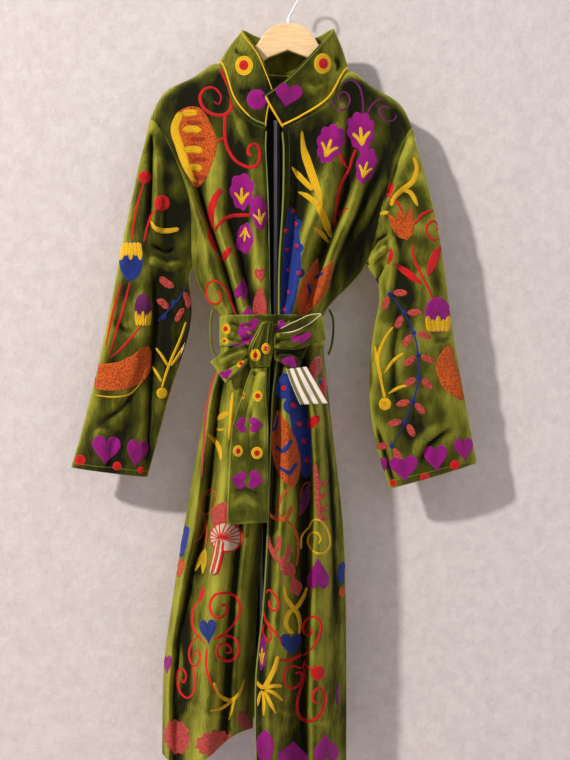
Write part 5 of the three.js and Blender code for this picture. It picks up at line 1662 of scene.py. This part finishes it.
for name in ("sleeve_right", "sleeve_left"):
    hem = outside_of(PANELS[name], WALL)[HEM_ROW]
    hem = np.concatenate([hem, hem[:1]])
    edging[name] = [cord(f"{name}_hem_stitching", hem, STITCHING_RADIUS, THREADS["lime"])]

# ---------------------------------------------------------------- the belt

BELT_COLUMNS = 220
BELT_ROWS = 14
BELT_STEP = 3.2          # mm between the points of the taut ring
BELT_BEARS = 4           # mm above and below the belt within which the coat holds it off
RIBBON_ROWS = 18
RIBBON_STEP = 3.0        # mm between a ribbon's points
TAIL_STITCHING_RADIUS = 0.45
PIPING_RADIUS = BELT_WALL / 2 - 0.1


def belt_grid():
    """A taut ring about the waist that rests on its highest folds."""
    around = [PANELS[name]["grid"].reshape(-1, 3) for name in ("front_right", "back", "front_left")]
    waist = np.concatenate(around)
    waist = waist[(waist[:, 2] < BELT_TOP + BELT_BEARS) & (waist[:, 2] > BELT_FOOT - BELT_BEARS)]
    angles = 2 * np.pi * np.arange(BELT_COLUMNS) / BELT_COLUMNS
    way = np.stack([np.cos(angles), np.sin(angles)], axis=1)
    reach = (waist[:, :2] @ way.T).max(axis=0) + LAY_GAP + BELT_WALL / 2
    next_reach = np.roll(reach, -1)
    next_way = np.roll(way, -1, axis=0)
    turn = math.sin(2 * math.pi / BELT_COLUMNS)
    x = (reach * next_way[:, 1] - next_reach * way[:, 1]) / turn
    y = (next_reach * way[:, 0] - reach * next_way[:, 0]) / turn
    ring = even(np.concatenate([np.stack([x, y], axis=1), [[x[0], y[0]]]]), BELT_STEP)[:-1]
    heights = np.linspace(BELT_TOP, BELT_FOOT, BELT_ROWS + 1)
    grid = np.zeros((len(heights), len(ring), 3))
    grid[..., :2] = ring[None]
    grid[..., 2] = heights[:, None]
    return grid


def ribbon_grid(table):
    """A band of cloth: each row of the table has its middle and the vector to its upper edge."""
    middle = through(np.array([row["at"] for row in table], float), CURVE_STEPS)
    half = through(np.array([row["half"] for row in table], float), CURVE_STEPS)
    both = even(np.concatenate([middle, half], axis=1), RIBBON_STEP)
    middle, half = both[:, :3], both[:, 3:]
    t = np.linspace(1, -1, RIBBON_ROWS + 1)
    return middle[None] + half[None] * t[:, None, None]


KNOT = {"x": -42, "half_width": 21, "top": -571, "foot": -642, "depth": 26, "rings": 34, "sides": 96}
KNOT_PLEATS = [
    dict(height=1.9, count=13, slant=2.2, start=0),
    dict(height=1.3, count=7.3, slant=-1.7, start=1),
]
RIBBONS = {
    "belt_tail_long": [
        dict(at=[-46, -96, -643], half=[12, 0, 0]),
        dict(at=[-53, -114, -680], half=[17, 0, 0]),
        dict(at=[-60, -124, -740], half=[29, 0, 2]),
        dict(at=[-62, -128, -815], half=[31, 0, 1]),
        dict(at=[-63, -130, -887], half=[33, 0, 2]),
    ],
    "belt_tail_root": [
        dict(at=[-21.6, -98, -617], half=[0, 0, 13]),
        dict(at=[4, -99, -620], half=[3, 0, 22]),
        dict(at=[24, -96, -627], half=[8, 0, 19]),
    ],
    "belt_tail_short": [
        dict(at=[13, -101, -644], half=[16, 0, 2]),
        dict(at=[24, -104, -668], half=[19, 0, 2]),
        dict(at=[41, -105, -701], half=[22, 0, 1]),
    ],
    "belt_bow_right": [
        dict(at=[-21.8, -103, -601], half=[0, 0, 11]),
        dict(at=[10, -112, -601], half=[-3, 0, 14]),
        dict(at=[38, -110, -590], half=[-5, 0, 15]),
        dict(at=[54, -103, -580], half=[-4, 0, 19]),
        dict(at=[55, -97, -578], half=[-4, 0, 20]),
        dict(at=[38, -94, -580], half=[-5, 0, 20]),
        dict(at=[10, -94, -589], half=[-3, 0, 17]),
        dict(at=[-21.8, -96, -592], half=[0, 0, 5]),
    ],
    "belt_bow_left": [
        dict(at=[-67.1, -103, -618], half=[-4, 0, 12]),
        dict(at=[-84, -113, -630], half=[-9, 0, 15]),
        dict(at=[-101, -111, -642], half=[-11, 0, 16]),
        dict(at=[-110, -102, -650], half=[-12, 0, 17]),
        dict(at=[-108, -94, -649], half=[-12, 0, 17]),
        dict(at=[-86, -93, -637], half=[-9, 0, 15]),
        dict(at=[-67.8, -97, -624], half=[-4, 0, 10]),
    ],
}
BELT_CREASES = {
    "belt_wrap": [
        ([(222, 333), (240, 337), (254, 331)], 4, -5, (0.2, 0.2)),
        ([(226, 338), (242, 342), (254, 338)], 3, 6, (0.2, 0.2)),
        ([(224, 346), (238, 343), (254, 344)], 3, -5, (0.2, 0.2)),
        ([(228, 322), (244, 327), (256, 326)], 3, 6, (0.3, 0.2)),
        ([(262, 320), (280, 323), (300, 319)], 3, 5, (0.2, 0.3)),
        ([(268, 330), (288, 327), (312, 326)], 4, -6, (0.2, 0.3)),
        ([(300, 346), (314, 342), (326, 338)], 4, 6, (0.3, 0.3)),
        ([(306, 338), (318, 333), (327, 328)], 4, -5, (0.3, 0.3)),
    ],
    "belt_tail_long": [
        ([(256, 372), (252, 392), (246, 412), (241, 440)], 5, 6.5, (0.05, 0.4)),
        ([(262, 372), (261, 395), (256, 420), (250, 446)], 6, -6.5, (0.05, 0.4)),
        ([(254, 400), (249, 432), (248, 466)], 5, 5.5, (0.3, 0.4)),
        ([(228, 492), (246, 489), (264, 496)], 4, 3, (0.3, 0.3)),
        ([(230, 504), (246, 498), (262, 508)], 5, -3, (0.3, 0.3)),
        ([(236, 430), (233, 470), (231, 515)], 4, -3, (0.3, 0.3)),
    ],
    "belt_tail_root": [
        ([(276, 354), (290, 352), (304, 360)], 4, 5, (0.1, 0.4)),
        ([(276, 360), (288, 366), (300, 370)], 4, -3, (0.1, 0.4)),
    ],
    "belt_tail_short": [
        ([(298, 374), (304, 386), (312, 398)], 6, -3, (0.3, 0.3)),
    ],
    "belt_bow_right": [
        ([(276, 342), (292, 339), (308, 330)], 3, 6, (0.1, 0.3)),
        ([(276, 336), (292, 332), (310, 326)], 3, -5, (0.1, 0.3)),
        ([(276, 347), (292, 345), (306, 339)], 3, -4, (0.1, 0.3)),
    ],
    "belt_bow_left": [
        ([(248, 356), (236, 364), (222, 371)], 3, 6, (0.1, 0.3)),
        ([(246, 352), (232, 357), (218, 364)], 3, -5, (0.1, 0.3)),
        ([(250, 364), (240, 371), (226, 378)], 3, -5, (0.1, 0.3)),
    ],
}


def squarer(wave):
    """A sine or cosine wave with flatter tops, which makes a circle a rounded square."""
    return np.sign(wave) * np.abs(wave) ** 0.7


def knot_grid(belt_front):
    """The knot is a gathered band: a rounded lump with upright pleats on its front."""
    behind = belt_front - BELT_WALL / 2 - LAY_GAP
    share = np.linspace(0, 1, KNOT["rings"])[:, None]
    turn = (2 * np.pi * np.arange(KNOT["sides"]) / KNOT["sides"])[None, :]
    swell = 0.72 + 0.28 * np.sin(np.pi * np.clip(share, 1e-6, 1)) ** 0.7
    c, s = squarer(np.cos(turn)), squarer(np.sin(turn))
    front = np.clip(s, 0, 1)
    pleat = sum(row["height"] * np.cos(row["count"] * turn + row["slant"] * share + row["start"])
                for row in KNOT_PLEATS)
    deep = front * np.sin(np.pi * share) ** 0.4
    half_width = (KNOT["half_width"] - 0.8) * (0.58 + 0.42 * np.clip(share * 1.7, 0, 1))
    x = KNOT["x"] + KNOT["half_width"] - half_width - 4 * share + half_width * swell * c
    y = behind - KNOT["depth"] / 2 * swell * (1 + s) + deep * (pleat + 2.2)
    z = KNOT["top"] + (KNOT["foot"] - KNOT["top"]) * share + 2.5 * np.cos(turn) * front
    return np.stack(np.broadcast_arrays(x, y, z), axis=-1)


def capped(name, panel, material, node, pile_tone_and_sheen):
    """A closed lump from rings."""
    grid = panel["grid"]
    rings, sides = grid.shape[:2]
    # Painted highlight and shade from the relief, shifted by the piece's painted sheen.
    painted_light = relief(grid, panel["normals"], True).ravel() + pile_tone_and_sheen
    verts = np.concatenate([grid.reshape(-1, 3), grid[:1].mean(axis=1), grid[-1:].mean(axis=1)])
    index = grid_index(rings, sides, True)
    faces = quads_of(index).tolist()
    faces += [[rings * sides, index[0, k], index[0, k + 1]] for k in range(sides)]
    faces += [[rings * sides + 1, index[-1, k + 1], index[-1, k]] for k in range(sides)]
    uv = np.concatenate([grid[..., [0, 2]].reshape(-1, 2) * MM, np.zeros((2, 2))])
    obj = mesh_object(name, verts, faces, uv, [material], [0] * len(faces), painted_light=np.append(painted_light, [pile_tone_and_sheen, pile_tone_and_sheen]))
    finish_piece(obj, "velvet", node)


belt = belt_grid()
BELT_PARTS = {"belt_wrap": panel_of(belt, -1, ring=True)}
for name, table in RIBBONS.items():
    BELT_PARTS[name] = panel_of(ribbon_grid(table), 1 if name == "belt_bow_left" else -1)
# A belt part's outer and inner cloth, where not velvet and lining.
BELT_FACES = {"belt_tail_short": [BELT_LINING, VELVET], "belt_bow_right": [VELVET, VELVET]}
BELT_RIPPLE = {"height": 1.2, "length": (16, 16, 16)}
for seed, (name, part) in enumerate(BELT_PARTS.items(), 20):
    press(part, BELT_CREASES[name])
    ripple(part, BELT_RIPPLE["height"], BELT_RIPPLE["length"], seed)
    faces = BELT_FACES.get(name, [VELVET, BELT_LINING])
    cloth[name] = shell(f"{name}_velvet", part, BELT_WALL, faces, pile_tone_and_sheen=PIECE_PAINTED_SHEEN.get(name, 0.0))
    finish_piece(cloth[name], "velvet", name)
    if name in ON_BELT:
        embroider(name, part, BELT_WALL, ON_BELT[name])

knot = panel_of(knot_grid(belt[..., 1].min()), -1, ring=True)
capped("belt_knot_velvet", knot, VELVET, "belt_knot", PIECE_PAINTED_SHEEN["belt_knot"])
embroider("belt_knot", knot, 0.0, ON_BELT["belt_knot"])

tail_face = outside_of(BELT_PARTS["belt_tail_long"], BELT_WALL)
edging["belt_tail_long"] = [
    cord("belt_tail_stitching_right", tail_face[1, 2:-2], TAIL_STITCHING_RADIUS, THREADS["moss"]),
    cord("belt_tail_stitching_left", tail_face[-2, 2:-2], TAIL_STITCHING_RADIUS, THREADS["moss"]),
    cord("belt_tail_stitching_foot", tail_face[1:-1, -3], TAIL_STITCHING_RADIUS, THREADS["moss"]),
]
bow_edge = BELT_PARTS["belt_bow_right"]["grid"][0, 4:-4]
edging["belt_bow_right"] = [cord("belt_bow_piping", bow_edge, PIPING_RADIUS, THREADS["white"])]

CARRIER = {"radius": 2.0, "sides": 12, "steps": 10}
CARRIERS = {
    "belt_carrier_right": [(-123.6, -18, -546), (-127, -19, -560), (-128, -19, -583), (-126, -19, -606),
                           (-121, -18, -622)],
    "belt_carrier_left": [(67.8, -18, -546), (74, -19, -560), (75, -19, -583), (72, -19, -606),
                          (66.6, -18, -622)],
}
for name, points in CARRIERS.items():
    cord(f"{name}_velvet", through(points, CARRIER["steps"]), CARRIER["radius"], VELVET, (name,),
         CARRIER["sides"], pile_tone_and_sheen=PIECE_PAINTED_SHEEN["belt_carrier"])

# ---------------------------------------------------------------- stage, light and camera


def plaster():
    """Pale plaster. The wall's back is clear, so that it hides nothing from behind."""
    n = Nodes("pale_plaster")
    lumps = n.noise(n.object_space(), scale=60.0, detail=8.0, roughness=0.66)
    n.set(Base_Color=n.ramp(lumps, [(0.3, srgb(186, 177, 178)), (0.65, srgb(200, 192, 192))]),
          Roughness=0.95, Normal=n.bump(lumps, distance=0.004, strength=0.55))
    clear = n.add("ShaderNodeBsdfTransparent").outputs["BSDF"]
    behind = n.add("ShaderNodeNewGeometry").outputs["Backfacing"]
    mix = n.add("ShaderNodeMixShader", {0: behind, 1: n.shader.outputs["BSDF"], 2: clear})
    n.tree.links.new(mix.outputs["Shader"], n.tree.nodes["Material Output"].inputs["Surface"])
    return n.material


def add_wall():
    """A wall behind the coat that bends into a floor below the hem."""
    wall_y, floor_z, bend, reach, steps = 0.075, -1.55, 0.12, 3.2, 10
    line = [(-reach, floor_z)]
    for k in range(steps + 1):
        turn = math.pi / 2 * k / steps
        line.append((wall_y - bend + bend * math.sin(turn), floor_z + bend - bend * math.cos(turn)))
    line.append((wall_y, 1.6))
    verts = [(x, y, z) for y, z in line for x in (-reach, reach)]
    faces = [(2 * i, 2 * i + 1, 2 * i + 3, 2 * i + 2) for i in range(len(line) - 1)]
    mesh = bpy.data.meshes.new("wall")
    mesh.from_pydata(verts, [], faces)
    mesh.materials.append(plaster())
    obj = bpy.data.objects.new("wall", mesh)
    obj.visible_shadow = False      # the light behind the wall reaches the back of the coat
    bpy.context.scene.collection.objects.link(obj)


def add_area_light(name, location, target, size, power, colour):
    """A round light at one place that shines toward another, all in metres and watts."""
    light = bpy.data.lights.new(name, "AREA")
    light.shape = "DISK"
    light.size = size
    light.energy = power
    light.color = colour
    obj = bpy.data.objects.new(name, light)
    obj.location = location
    obj.rotation_euler = (Vector(target) - Vector(location)).to_track_quat("-Z", "Y").to_euler()
    bpy.context.scene.collection.objects.link(obj)


def add_camera():
    """Level, and 2 m in front of the hanger's plane."""
    data = bpy.data.cameras.new("camera")
    data.sensor_width = 36.0
    data.lens = data.sensor_width * VIEW_DISTANCE / (PICTURE["height"] * MM_PER_PIXEL)
    obj = bpy.data.objects.new("camera", data)
    obj.location = EYE * MM
    obj.rotation_euler = (math.pi / 2, 0, 0)
    bpy.context.scene.collection.objects.link(obj)
    bpy.context.scene.camera = obj


def add_daylight(colour, strength):
    """Even light from all round, and colours shown as they are."""
    world = bpy.data.worlds.new("daylight")
    bpy.context.scene.world = world
    world.use_nodes = True
    background = world.node_tree.nodes["Background"]
    background.inputs["Color"].default_value = (*colour, 1)
    background.inputs["Strength"].default_value = strength
    bpy.context.scene.view_settings.view_transform = "Standard"


LIGHTS = [
    dict(name="sun", location=(-3.0, -3.4, 1.7), target=(0, 0, -0.6), size=0.3, power=268,
         colour=(1.0, 0.96, 0.88)),
    dict(name="rear", location=(1.4, 3.4, 1.0), target=(0, 0, -0.7), size=1.2, power=150,
         colour=(0.97, 0.98, 1.0)),
    dict(name="sky", location=(1.6, -3.0, 0.6), target=(0, 0, -0.7), size=2.4, power=16,
         colour=(0.88, 0.93, 1.0)),
]
add_wall()
for light in LIGHTS:
    add_area_light(**light)
add_daylight(colour=srgb(222, 216, 216), strength=0.66)
add_camera()

for name, material in (("hanger_body", birch()), ("hanger_hook", steel())):
    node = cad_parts[name]
    node.data.materials.clear()
    node.data.materials.append(material)
